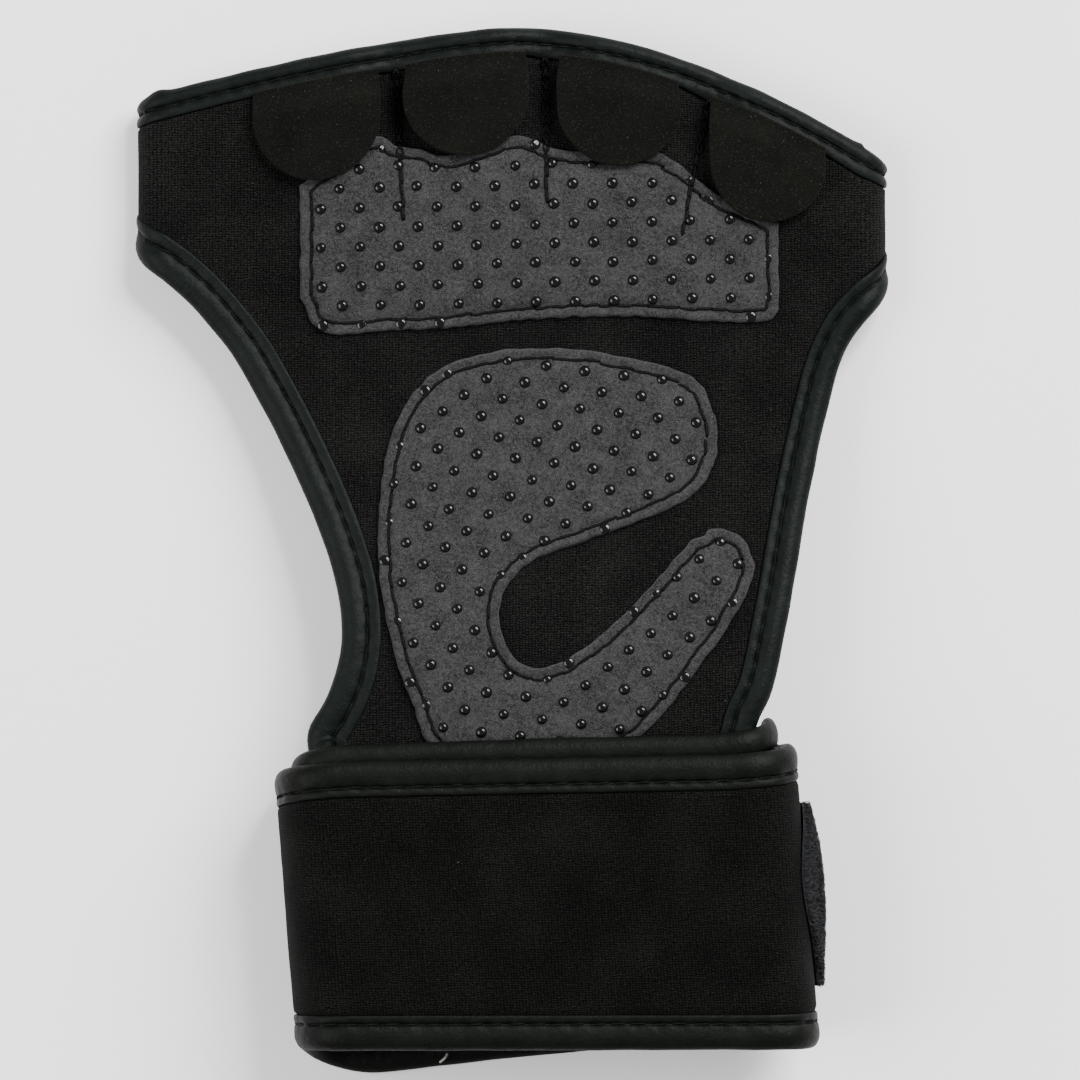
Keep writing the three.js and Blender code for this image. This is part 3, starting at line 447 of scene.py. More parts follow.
def roll(a, y):
    """Points and normals of the unrolled cloth at distance a across and height y: the palm to
    FOLD_X, a half circle round each side fold, and beyond it the back."""
    a, y = np.broadcast_arrays(a, y)
    a = once_round(a)
    hand, reach = np.sign(a), np.abs(a) - FOLD_X
    turn = np.clip(reach / FOLD_RADIUS, 0, np.pi)
    back_x = hand * (FOLD_X - (reach - FOLD_ARC))
    P, N = on_palm(np.where(reach <= 0, a, 0.0), y)
    Q, M = lift(band_height, np.where(reach >= FOLD_ARC, back_x, 0.0), y, -1)
    F = np.stack([hand * (FOLD_X + FOLD_RADIUS * np.sin(turn)), y,
                  HALF + FOLD_RADIUS * (1 + np.cos(turn))], -1)
    G = np.stack([hand * np.sin(turn), 0 * y, np.cos(turn)], -1)
    palm, back = (reach <= 0)[..., None], (reach >= FOLD_ARC)[..., None]
    return np.where(palm, P, np.where(back, Q, F)), np.where(palm, N, np.where(back, M, G))


def flat_x(a):
    """The x of the unrolled distance a."""
    reach = np.abs(a) - FOLD_X
    turn = np.clip(reach / FOLD_RADIUS, 0, np.pi)
    round_fold = FOLD_X + FOLD_RADIUS * np.sin(turn) - np.clip(reach - FOLD_ARC, 0, None)
    return np.sign(a) * np.where(reach < 0, np.abs(a), round_fold)


def tube_high(a):
    """Height of the cloth's finger edge at a: the arch, set back a little on the back."""
    turn = np.clip((np.abs(a) - FOLD_X) / FOLD_RADIUS, 0, np.pi)
    return arch_y(flat_x(a)) - LIP - BACK_SETBACK * ease(turn, 0, np.pi)


def tube_low(a):
    """Height of the tube's lower edge at a: a straight line on the palm, a quarter sine up
    each wing, and a shallow bow across the back."""
    a = np.asarray(a, float)
    t = (np.clip(a, -FOLD_X, FOLD_X) + FOLD_X) / (2 * FOLD_X)
    straight = fold_y(THUMB_FOLD_UP + (OUTER_FOLD_UP - THUMB_FOLD_UP) * t)
    beyond = np.clip((np.abs(a) - FOLD_X) / (FOLD_ARC + WING), 0, 1)
    rise = np.where(a < 0, THUMB_RISE, OUTER_RISE) * np.sin(beyond * np.pi / 2)
    reach = FOLD_X - WING
    across = np.clip(flat_x(a) / reach, -1, 1)
    ends = [fold_y(THUMB_FOLD_UP) + THUMB_RISE, fold_y(OUTER_FOLD_UP) + OUTER_RISE]
    bow = ends[0] + (ends[1] - ends[0]) * (across + 1) / 2 + KNUCKLE_BOW * (1 - across**2)
    return np.where(np.abs(a) > FOLD_X + FOLD_ARC + WING, bow, straight + rise)


print("palm at the middle:", on_palm(np.array([5.0]), np.array([20.0]))[0].round(2))

# %% [markdown]
# ## Finishes
# Each finish is a node material named for the real one. Colours are written as sRGB hex values,
# the way a colour picker gives them, and one function turns them to the linear values that the
# shader wants. One small function adds a node with its settings and links.

# %% Colour and node helpers
def linear(hex_colour):
    """Linear RGBA from an sRGB hex value: the lower part of the curve is a straight line, the
    rest is a power of 2.4."""
    value = np.array([int(hex_colour[k : k + 2], 16) for k in (1, 3, 5)]) / 255
    low, high = value / 12.92, ((value + 0.055) / 1.055) ** 2.4
    return (*np.where(value <= 0.04045, low, high).tolist(), 1.0)


def add(tree, kind, inputs=None, **settings):
    """A new node with its settings. Each input is a number, a colour or another's socket."""
    node = tree.nodes.new("ShaderNode" + kind)
    for name, value in settings.items():
        setattr(node, name, value)
    for name, value in (inputs or {}).items():
        if isinstance(value, bpy.types.NodeSocket):
            tree.links.new(value, node.inputs[name])
        else:
            node.inputs[name].default_value = value
    return node


def math(tree, operation, a, b=0.0):
    """The result of a sum or comparison of two values."""
    return add(tree, "Math", {0: a, 1: b}, operation=operation).outputs[0]


def weighted(tree, *terms):
    """The sum of values that are each multiplied by a weight."""
    total, *others = [math(tree, "MULTIPLY", value, weight) for value, weight in terms]
    for part in others:
        total = math(tree, "ADD", total, part)
    return total


def blend(tree, share, a, b):
    """A colour between a and b, by a share from 0 to 1."""
    mix = add(tree, "Mix", {0: share, 6: a, 7: b}, data_type="RGBA")
    return mix.outputs[2]


def noise(tree, place, per_mm, detail=3.0, rough=0.55):
    """Cloudy noise with per_mm blobs a millimetre, from 0 to 1."""
    inputs = {"Vector": place, "Scale": per_mm / MM, "Detail": detail, "Roughness": rough}
    return add(tree, "TexNoise", inputs).outputs[0]


def spread(tree, value, low, high):
    """The value, stretched so that low becomes 0 and high becomes 1."""
    inputs = {"Value": value, "From Min": low, "From Max": high}
    return add(tree, "MapRange", inputs).outputs["Result"]


def bump(tree, height, depth, strength=1.0, under=None):
    """A normal from a height of 0 to 1 that stands for depth millimetres."""
    inputs = {"Height": height, "Distance": depth * MM, "Strength": strength}
    if under:
        inputs["Normal"] = under
    return add(tree, "Bump", inputs).outputs["Normal"]


def material(name, build, **sockets):
    """A material whose shader has the given numbers on its own sockets. build adds the nodes
    for its colour, roughness and normal, and returns them by socket name."""
    made = bpy.data.materials.new(name)
    made.use_nodes = True
    tree = made.node_tree
    shader = tree.nodes["Principled BSDF"]
    for socket, value in sockets.items():
        shader.inputs[socket.replace("_", " ")].default_value = value
    for socket, value in build(tree).items():
        tree.links.new(value, shader.inputs[socket])
    return made


print("linear mid grey:", round(linear("#808080")[0], 3))

# %% [markdown]
# ### Knitted face of the neoprene
# Foam rubber sheet is sold with a thin nylon jersey glued to it. Jersey is columns of small V
# shapes, here 0.55 mm apart, with rows 0.42 mm apart. From arm's length it is a soft black with
# a fine grain and a little dust. The pattern reads the piece's UV map, so it turns with the
# cloth.

# %% Knit and fibres
WALE, COURSE = 0.55, 0.42  # millimetres between columns and between rows of loops


def knit_height(tree, place):
    """Jersey: the sine of each column's width, times a wave along the column whose phase
    shifts towards the column's middle, which gives the V."""
    split = add(tree, "SeparateXYZ", {0: place})
    sways = noise(tree, place, 0.8), noise(tree, place, 0.6)
    across = weighted(tree, (split.outputs["X"], 1 / (WALE * MM)), (sways[0], 1.3))
    along = weighted(tree, (split.outputs["Y"], 1 / (COURSE * MM)), (sways[1], 2.4))
    column = math(tree, "ABSOLUTE", math(tree, "SINE", math(tree, "MULTIPLY", across, np.pi)))
    shift = math(tree, "PINGPONG", across, 0.5)
    phase = weighted(tree, (along, 1.0), (shift, 1.1))
    wave = math(tree, "SINE", math(tree, "MULTIPLY", phase, 2 * np.pi))
    ripple = math(tree, "ADD", math(tree, "MULTIPLY", wave, 0.36), 0.64)
    return math(tree, "MULTIPLY", spread(tree, column, -1.2, 1), ripple)


def dusted(tree, colour, place, spacing, share, lint):
    """The colour with small specks of lint half over it, in a few of the cells of a Voronoi
    pattern, near the cell's middle."""
    cells = add(tree, "TexVoronoi", {"Vector": place, "Scale": 1 / (spacing * MM)})
    near = math(tree, "LESS_THAN", cells.outputs["Distance"], 0.11)
    chosen = add(tree, "SeparateColor", {0: cells.outputs["Color"]}).outputs[0]
    specks = math(tree, "MULTIPLY", near, math(tree, "LESS_THAN", chosen, share))
    return blend(tree, math(tree, "MULTIPLY", specks, 0.5), colour, linear(lint))


def knitted(dark, light, lint):
    """Jersey between a dark and a light colour, by its loops, a fine grain and slow clouds."""
    def build(tree):
        place = add(tree, "TexCoord").outputs["UV"]
        height = knit_height(tree, place)
        cloud, grain = noise(tree, place, 0.09, 4), noise(tree, place, 1.7, 4, 0.75)
        tone = weighted(tree, (height, 0.35), (cloud, 0.25), (grain, 0.6))
        colour = blend(tree, spread(tree, tone, 0.57, 0.78), linear(dark), linear(light))
        colour = dusted(tree, colour, place, 1.0, 0.012, lint)
        fibre = weighted(tree, (height, 1.0), (grain, 1.2))
        return {"Base Color": colour, "Normal": bump(tree, fibre, 0.16, 0.9)}

    return build


JERSEY = {"Roughness": 0.88, "Specular_IOR_Level": 0.04, "Sheen_Roughness": 0.5}
PALM_KNIT = material("nylon jersey on foam rubber", knitted("#010101", "#1e1f1d", "#4c4c48"),
                     Sheen_Weight=0.02, **JERSEY)
STRAP_KNIT = material("nylon jersey on the strap", knitted("#010101", "#171715", "#4c4c48"),
                      Sheen_Weight=0.015, **JERSEY)
print(PALM_KNIT.name, "and", STRAP_KNIT.name)

# %% [markdown]
# ### Grip suede, silicone, tabs, tape, pile and thread
# The grip patches are microfibre suede: matt, mottled, with a nap that catches light at grazing
# angles. The dots are printed silicone: dark, smooth and wet-looking. The tabs are brushed
# microfibre. The tapes are coated cloth, a satin skin with a fine leather grain. The pile is
# nylon loops, and the thread is twisted polyester with a slight gloss.

# %% Suede, silicone, microfibre, leatherette, pile and thread
def suede(tree):
    """Nap in two sizes over slow blotches, with paler fleck on top."""
    place = add(tree, "TexCoord").outputs["Object"]
    nap, blotch = noise(tree, place, 1.6, 6, 0.7), noise(tree, place, 0.28, 3)
    fleck = noise(tree, place, 5.0, 2)
    tone = weighted(tree, (nap, 0.5), (blotch, 0.2), (fleck, 0.5))
    colour = blend(tree, spread(tree, tone, 0.47, 0.74), linear("#0b0b0b"), linear("#393939"))
    colour = blend(tree, spread(tree, fleck, 0.6, 0.78), colour, linear("#454548"))
    fibre = weighted(tree, (nap, 1.0), (fleck, 0.6))
    return {"Base Color": colour, "Normal": bump(tree, fibre, 0.25, 0.8)}


def silicone(tree):
    """Nearly black, and smooth with small differences in its gloss."""
    place = add(tree, "TexCoord").outputs["Object"]
    cloud = noise(tree, place, 0.8, 2)
    colour = blend(tree, cloud, linear("#040405"), linear("#0a0a0b"))
    rough = spread(tree, noise(tree, place, 2.0, 3), -0.3, 8.0)
    return {"Base Color": colour, "Roughness": rough}


def microfibre(tree):
    """Short brushed nap, with faint fleck and a little lint."""
    place = add(tree, "TexCoord").outputs["Object"]
    nap, cloud = noise(tree, place, 2.4, 5, 0.7), noise(tree, place, 0.12, 3)
    tone = weighted(tree, (nap, 0.6), (cloud, 0.4))
    colour = blend(tree, spread(tree, tone, 0.35, 0.68), linear("#030403"), linear("#0d0d0a"))
    fleck = spread(tree, noise(tree, place, 3.4, 2), 0.58, 0.75)
    colour = blend(tree, math(tree, "MULTIPLY", fleck, 0.35), colour, linear("#34342d"))
    colour = dusted(tree, colour, place, 0.8, 0.1, "#4c4a45")
    return {"Base Color": colour, "Normal": bump(tree, nap, 0.12, 0.7)}


def leatherette(dark, light):
    """Coated cloth: pebbles from the cells of a Voronoi pattern, over wider creases."""
    def build(tree):
        place = add(tree, "TexCoord").outputs["UV"]
        cells = add(tree, "TexVoronoi", {"Vector": place, "Scale": 1 / (0.42 * MM)},
                    feature="SMOOTH_F1")
        grain = weighted(tree, (cells.outputs["Distance"], 1.0),
                         (noise(tree, place, 3.0, 3), 0.5))
        cloud, rub = noise(tree, place, 0.15, 3), noise(tree, place, 0.9, 4)
        colour = blend(tree, spread(tree, cloud, 0.3, 0.7), linear(dark), linear(light))
        rough = math(tree, "ADD", math(tree, "MULTIPLY", rub, 0.24), 0.4)
        crease = bump(tree, noise(tree, place, 0.55, 3), 0.3, 0.55)
        return {"Base Color": colour, "Roughness": rough,
                "Normal": bump(tree, grain, 0.06, 0.8, crease)}

    return build


def pile(tree):
    """Nylon loops that let light in unevenly."""
    place = add(tree, "TexCoord").outputs["Object"]
    fluff = noise(tree, place, 1.8, 5, 0.75)
    colour = blend(tree, spread(tree, fluff, 0.35, 0.65), linear("#030304"), linear("#222328"))
    return {"Base Color": colour, "Normal": bump(tree, fluff, 0.5, 1.0)}


def thread(tree):
    """Twisted yarn: a wave that runs along the thread and round it, from its own UV map."""
    place = add(tree, "TexCoord").outputs["UV"]
    split = add(tree, "SeparateXYZ", {0: place})
    along = math(tree, "MULTIPLY", split.outputs["X"], 2 * np.pi / (0.5 * MM))
    ply = math(tree, "SINE", math(tree, "ADD", along, math(tree, "DIVIDE", split.outputs["Y"], MM)))
    ply = spread(tree, ply, -1, 1)
    colour = blend(tree, ply, linear("#030303"), linear("#0a0a0b"))
    return {"Base Color": colour, "Normal": bump(tree, ply, 0.06, 0.8)}


GRIP_SUEDE = material("grey microfibre suede", suede, Roughness=0.95, Specular_IOR_Level=0.05,
                      Sheen_Weight=0.07, Sheen_Roughness=0.6)
SILICONE = material("printed silicone", silicone, IOR=1.41, Specular_IOR_Level=0.42)
TAB_MICROFIBRE = material("brushed microfibre", microfibre, Roughness=0.93,
                          Specular_IOR_Level=0.04, Sheen_Weight=0.02, Sheen_Roughness=0.6)
LEATHERETTE = material("coated cloth tape", leatherette("#050907", "#0b100e"), IOR=1.5,
                       Specular_IOR_Level=0.08)
STRAP_LEATHERETTE = material("coated cloth tape of the strap",
                             leatherette("#040604", "#0a0d09"), IOR=1.5,
                             Specular_IOR_Level=0.075)
LOOP_PILE = material("nylon loop pile", pile, Roughness=0.9, Specular_IOR_Level=0.15,
                     Sheen_Weight=0.12, Sheen_Roughness=0.5)
THREAD = material("polyester thread", thread, Roughness=0.6, Specular_IOR_Level=0.08)
print(len(bpy.data.materials), "materials")

# %% [markdown]
# ## The panel's edges, unrolled
# The lower edge is one long line: up the thumb curve, round the fold, across the back, round
# the other fold and down the outer curve. The upper edge goes once round the finger tube. Both
# are drawn on the unrolled cloth, where a tape's inner edge is simply the same line moved in
# by the tape's width.

# %% Edge lines on the unrolled cloth
EDGE_STEP = 0.8  # millimetres between two points of an edge line
FOLD_ROW = len(PALM_SECTIONS)  # the row of the edges' tables that lies on the fold
rows_up = np.linspace(FIRST_BOUND - 0.3, FOLD_ROW, 160)
thumb_line = spline(rows_up, THUMB_EDGE)
outer_line = spline(rows_up, OUTER_EDGE)[::-1] - [CIRCUIT, 0]
round_back = np.linspace(-FOLD_X, FOLD_X - CIRCUIT, 200)[1:-1]
back_line = np.stack([round_back, tube_low(once_round(round_back))], -1)
whole_line = np.concatenate([thumb_line, back_line, outer_line])
LOWER_LINE = blur(evenly(whole_line, EDGE_STEP)[0], 5)
around = np.linspace(-CIRCUIT / 2, CIRCUIT / 2, 700)
UPPER_LINE = evenly(np.stack([around, tube_high(around)], -1), EDGE_STEP)[0]
print("lower edge:", round(lengths(LOWER_LINE)[-1]), "mm, upper edge:",
      round(lengths(UPPER_LINE)[-1]), "mm")

# %% [markdown]
# ## Palm panel and knuckle band
# The panel is a grid of cells on the bent shape. It is squeezed thin under the tapes, gathered
# beside the finger seams where the thread pulls it down, and very slightly uneven elsewhere,
# because foam rubber never lies quite flat.

# %% Panel and band
def seam_line(seam, steps=60):
    """Points of a finger seam on the palm, from the arch down to its end."""
    top_x, top_y, end_x, end_y = seam
    y = np.linspace(FINGER_LENGTH * top_y + 1.5, FINGER_LENGTH * end_y, steps)
    t = (y / FINGER_LENGTH - end_y) / (top_y - end_y)
    return np.stack([WIDTH_SHARE * (end_x + (top_x - end_x) * t), y], -1)


GATHER_REACH, GATHERS_UP = 3.2, (58, 66)  # beside the seam, and the heights where they begin


def gathers(a, y):
    """Small creases beside each finger seam: waves along the seam that fade within a few
    millimetres of it and end where the seam ends."""
    total = np.zeros(np.broadcast(a, y).shape)
    for k, seam in enumerate(SEAMS):
        beside = away(np.stack(np.broadcast_arrays(a, y), -1), seam_line(seam, 12))
        fan = np.sin(2 * np.pi * (y + 0.35 * beside * np.sign(a)) / (3.1 + 0.4 * k) + 2 * k)
        total += fan * bell(beside, GATHER_REACH) * ease(y, *GATHERS_UP)
    return total


def palm_detail(a, y):
    """How far the knit stands off the bent shape: slow waves, and gathers at the seams."""
    return 0.16 * waves(a, y, 34, 3) + 0.05 * waves(a, y, 9, 4) + 0.17 * gathers(a, y)


def past_tape(d, binding):
    """0 where a tape of width binding holds the cloth, 1 beyond, d being the distance from the
    cloth's edge. The cloth swells to its full thickness over a little more than 1 mm."""
    reach = binding - LIP
    return ease(d, reach - 0.5, reach + 0.7)


def half_thickness(free):
    """Half the cloth's thickness, from pressed at 0 to full at 1."""
    return PRESSED / 2 + (HALF - PRESSED / 2) * free


def squeezed(a, y, low_binding, high_binding):
    """Half the cloth's thickness between a lower and an upper tape."""
    spot = np.stack([a, y], -1)
    low = np.minimum(away(spot, LOWER_LINE[::3]), away(spot, LOWER_LINE[::3] + [CIRCUIT, 0]))
    high = away(spot, UPPER_LINE[::4])
    return half_thickness(past_tape(low, low_binding) * past_tape(high, high_binding))


PANEL_CELL, TUBE_ROWS, PALM_ROWS = 0.85, 52, 132
BAND_ROWS, BAND_COLUMNS = 44, 122


def palm_panel():
    """The palm's rows run from edge to edge. Above the folds the rows run on round them, on the
    same columns, so both parts are one grid whose lower corners are left out."""
    wing = np.arange(PANEL_CELL, FOLD_ARC + WING + 0.01, PANEL_CELL)
    main = np.linspace(-FOLD_X, FOLD_X, int(2 * FOLD_X / PANEL_CELL))
    a_tube = np.concatenate([-FOLD_X - wing[::-1], main, FOLD_X + wing])
    t = np.linspace(0, 1, TUBE_ROWS)[:, None]
    tube_y = tube_low(a_tube) + (tube_high(a_tube) - tube_low(a_tube)) * t
    tube_a = np.broadcast_to(a_tube, tube_y.shape)
    s = np.linspace(0, FOLD_ROW, PALM_ROWS)[:-1, None]
    left, right = spline(s, THUMB_EDGE), spline(s, OUTER_EDGE)
    u = np.clip((a_tube + FOLD_X) / (2 * FOLD_X), 0, 1)[:, None]
    low = left + (right - left) * u
    a = np.concatenate([low[..., 0], tube_a])
    y = np.concatenate([low[..., 1], tube_y])
    P, N = roll(a, y)
    inside = slice(len(wing), len(wing) + len(main) - 1)
    keep = np.zeros((a.shape[0] - 1, a.shape[1] - 1), bool)
    keep[:, inside] = True
    keep[len(s) :] = True
    half = squeezed(a, y, OUTER_BINDING, TOP_BINDING)
    stand = palm_detail(a, y) * ease(half, PRESSED / 2, HALF)
    return cloth("palm_panel_cloth", P, N, -half + stand, half + stand, (a, y), PALM_KNIT,
                 "palm_panel", keep)


def knuckle_band():
    """The back between the wings, from the back opening's edge to the finger edge."""
    reach = FOLD_X - WING - GAP
    x, t = np.meshgrid(np.linspace(-reach, reach, BAND_COLUMNS), np.linspace(0, 1, BAND_ROWS))
    a = np.sign(x) * (2 * FOLD_X + FOLD_ARC - np.abs(x))
    low, high = tube_low(a), tube_high(a)
    y = low + (high - low) * t
    P, N = lift(band_height, x, y, -1)
    half = squeezed(a, y, KNUCKLE_BINDING, TOP_BINDING)
    stand = 0.1 * waves(x, y, 22, 8) * ease(half, PRESSED / 2, HALF)
    return cloth("knuckle_band_cloth", P, N, -half, half + np.minimum(stand, 0), (x, y),
                 PALM_KNIT, "knuckle_band")


panel = palm_panel()
band = knuckle_band()

# %% [markdown]
# ## Tapes
# A binding is a strip of coated cloth folded over the raw edge and sewn through. Its profile
# starts at the cut lip, swells, sinks where the thread pulls it in, swells again and turns
# round the edge to do the same underneath. This profile is carried along the edge line, with a
# small pucker at each stitch and fine wrinkles where the line bends hard.

# %% Tape maker
NOSE_ROUND, NOSE_STEPS = 2.6, 13  # the tape's edge is a quarter ellipse this wide
LIP_ROLL = 0.22  # how deep and how wide the cut lip is rounded down
FURROW, NEEDLE_PULL, PUCKER = 0.22, 0.36, 0.2  # along the seam, and at each stitch's ends
STITCH_WIDTH, PUFF_WIDTH = 0.3, 1.1  # of the furrow and of the swelling beside it
HARD_BEND = 9.0  # an edge line bends hard where its radius is less than this, in millimetres
FOLD_BUMP = 0.5  # how far the finger edge's tape puckers out at the side folds


def nose_height(d):
    """Share of the tape's full height at distance d from its nose: a quarter of an ellipse."""
    return quarter_round(d, NOSE_ROUND)


def tape_shares(stitch):
    """Where the profile has its points, from the lip at 0 to the edge at 1: close together at
    the lip and round the stitch."""
    near_stitch = stitch + np.array([-0.06, -0.04, -0.02, 0, 0.02, 0.04, 0.06])
    shares = [[0, 0.02, 0.06], np.linspace(0.06, stitch - 0.08, 4), near_stitch,
              np.linspace(stitch + 0.09, 1, 9)]
    return np.unique(np.concatenate(shares).clip(0, 1).round(4))


def hardness(edge, along):
    """1 where an edge line bends hard and 0 where it is straight: the turn of its direction
    over the distance travelled, as a running mean."""
    turned = np.gradient(np.unwrap(np.arctan2(*np.gradient(edge, axis=0).T[::-1])))
    bend = np.convolve(np.abs(turned) / np.gradient(along[:, 0]), np.ones(9) / 9, "same")
    return np.clip(bend * HARD_BEND, 0, 1)[:, None]


def tape_height(share, stitch, reach, along, hard, swell, rise, pitch, seed):
    """Height of the tape's skin over the cloth's middle, along the edge and across the tape:
    the swelling, less the furrow and the puckers, plus slow waves, plus fine wrinkles where
    the line bends hard."""
    s = share * reach
    off = s - stitch * reach
    puff = swell * (1 - bell(off, PUFF_WIDTH)) * np.where(off < 0, 0.6, 1.0)
    base = (HALF + rise + puff) * nose_height(reach + LIP - s)
    base = base - LIP_ROLL * np.exp(-s / LIP_ROLL)
    groove = bell(off, STITCH_WIDTH)
    per_stitch = 0.5 + 0.5 * np.cos(2 * np.pi * along / pitch)
    waver = waves(along, s * 0.5, 7, seed) * 0.05 + waves(along, 0 * s, 26, seed + 1) * 0.07
    wrinkle = np.sin(2 * np.pi * (along + 0.25 * s) / 2.3 + 2 * waves(along, s, 9, seed + 2))
    fine = hard * 0.13 * wrinkle * np.clip(off, 0, 1) * nose_height(reach + LIP - s)
    waver = waver * np.sin(np.pi * (0.1 + 0.9 * share))
    height = base - groove * (FURROW + NEEDLE_PULL * per_stitch) + waver + fine
    return height - PUCKER * per_stitch * bell(off, PUFF_WIDTH)


def profile_faces(count, sides, loop):
    """Faces between a row of closed profiles, the last joined to the first in a loop, or else
    with both ends closed across the fold."""
    number = np.arange(count * sides).reshape(count, sides)
    after = np.roll(number, -1, axis=0) if loop else number[1:]
    before = number if loop else number[:-1]
    cells = [before, after, np.roll(after, -1, axis=1), np.roll(before, -1, axis=1)]
    faces = [np.stack(cells, -1).reshape(-1, 4)]
    for end, order in () if loop else ((0, -1), (-1, 1)):
        front, rear = number[end, : sides // 2], number[end, sides // 2 :][::-1]
        cap = np.stack([front[:-1], front[1:], rear[1:], rear[:-1]], -1)
        faces.append(cap[:, ::order])
    return faces


def tape(name, edge, inner, place, stitch_from_lip, finish, node, loop=False,
         swell=0.36, rise=0.1, pitch=3.7, seed=1):
    """A folded tape. place turns unrolled points into points and normals of the cloth. Returns
    its stitch line on both faces, as points and outward normals."""
    reach = np.linalg.norm(edge - inner, axis=-1)[:, None]
    stitch = stitch_from_lip / reach.mean()
    share = tape_shares(stitch)
    spots = inner[:, None] + (edge - inner)[:, None] * share[:, None]
    P, N = place(spots[..., 0], spots[..., 1])
    along = lengths(P[:, -1])[:, None]
    height = tape_height(share, stitch, reach, along, hardness(edge, along), swell, rise, pitch,
                         seed)
    outward = P[:, -1] - P[:, -2]
    outward = unit(outward - N[:, -1] * (outward * N[:, -1]).sum(-1, keepdims=True))
    angle = np.linspace(np.pi / 2, -np.pi / 2, NOSE_STEPS)[1:-1, None]
    stand = (LIP + 0.07 * waves(along, 0 * along, 11, seed + 4))[:, None]
    fold = bell(np.abs(edge[:, :1]) - FOLD_X - 1.0, 1.6) * (edge[:, 1:] > 70)
    stand = stand + (FOLD_BUMP * fold[:, None] if loop else 0)
    level = np.sign(angle) * nose_height(LIP * (1 - np.cos(angle))) / nose_height(LIP)

    def nose(thick, out):
        return P[:, -1:] + N[:, -1:] * (level * thick) + outward[:, None] * (np.cos(angle) * out)

    crest = height[:, -1:, None]
    skin = [P + N * height[..., None], nose(crest, stand), (P - N * height[..., None])[:, ::-1]]
    wall = HALF - BINDING_WALL
    lining = [P - N * wall, nose(wall, SLIP)[:, ::-1], (P + N * wall)[:, ::-1]]
    outside, inside = np.concatenate(skin, 1), np.concatenate(lining, 1)
    ring = np.concatenate([outside, inside], 1)
    faces = profile_faces(*ring.shape[:2], loop)
    points = ring.reshape(-1, 3)
    width = lengths(outside[len(ring) // 2])
    across = np.concatenate([width, width[::-1]])
    uv = np.stack(np.broadcast_arrays(along, across), -1).reshape(-1, 2)
    piece = make(name, points, outwards(points, faces), uv, finish, node)
    k = int(np.argmin(np.abs(share - stitch)))
    deep = height[:, k, None]
    lines = [(P[:, k] + N[:, k] * deep, N[:, k]), (P[:, k] - N[:, k] * deep, -N[:, k])]
    print(name, "is", round(float(along[-1, 0])), "mm long,", round((reach + LIP).mean(), 1),
          "mm wide and", round(float(width[-1]), 1), "mm flat")
    return lines


def inside_line(line, reach):
    """The line moved to the right of its direction by reach, one number or one a point."""
    step = unit(np.gradient(line, axis=0))
    return line + np.stack([step[:, 1], -step[:, 0]], -1) * np.broadcast_to(
        reach, len(line))[:, None]


# %% Tapes of the finger edge and of the open back
loop_line = UPPER_LINE[:-1]
top_seams = tape(
    "top_binding_tape", loop_line, inside_line(loop_line, TOP_BINDING - LIP), roll, 2.0,
    LEATHERETTE, "top_binding", loop=True, pitch=3.4, seed=11)
travelled = lengths(LOWER_LINE) / lengths(LOWER_LINE)[-1]
tape_reach = np.interp(travelled, [0, 0.3, 0.42, 0.62, 0.72, 1], [
    THUMB_BINDING, THUMB_BINDING, KNUCKLE_BINDING, KNUCKLE_BINDING, OUTER_BINDING,
    OUTER_BINDING]) - LIP
side_seams = tape(
    "side_binding_tape", LOWER_LINE, inside_line(LOWER_LINE, tape_reach), roll, 2.1,
    LEATHERETTE, "side_binding", pitch=3.6, seed=21)

# %% [markdown]
# ## Grip patches
# Two suede patches are sewn on the palm: a wide one across the finger bases, with a scalloped
# upper edge, and a hook round an open teardrop on the heel of the hand. Each is a grid from one
# long edge to the other. The distance of each point to the cut edge gives the rest: the edge
# rolls down to nothing, and two millimetres in the border stitch makes a narrow furrow.

# %% Patch shapes
FINGER_PATCH = {"left": -36.8, "width": 83.2, "bottom": 37.7, "height": 35.0}
# columns: across, lower edge, upper edge, as shares of the patch's width and height
FINGER_PATCH_SECTIONS = np.array([
    [0.0, 0.19, 0.75], [0.025, 0.065, 0.8], [0.07, 0.01, 0.87], [0.147, 0.02, 0.995],
    [0.2, 0.03, 0.94], [0.25, 0.035, 0.93], [0.31, 0.04, 0.9], [0.38, 0.06, 0.94],
    [0.44, 0.075, 0.997], [0.487, 0.085, 0.97], [0.515, 0.09, 0.937], [0.58, 0.095, 0.917],
    [0.66, 0.1, 0.92], [0.745, 0.095, 0.915], [0.778, 0.09, 0.87], [0.82, 0.08, 0.79],
    [0.87, 0.075, 0.71], [0.94, 0.07, 0.63], [0.985, 0.085, 0.585], [1.0, 0.13, 0.565],
])
PALM_PATCH = {"left": -23.2, "width": 65.4, "top": 35.8, "height": 70.5}
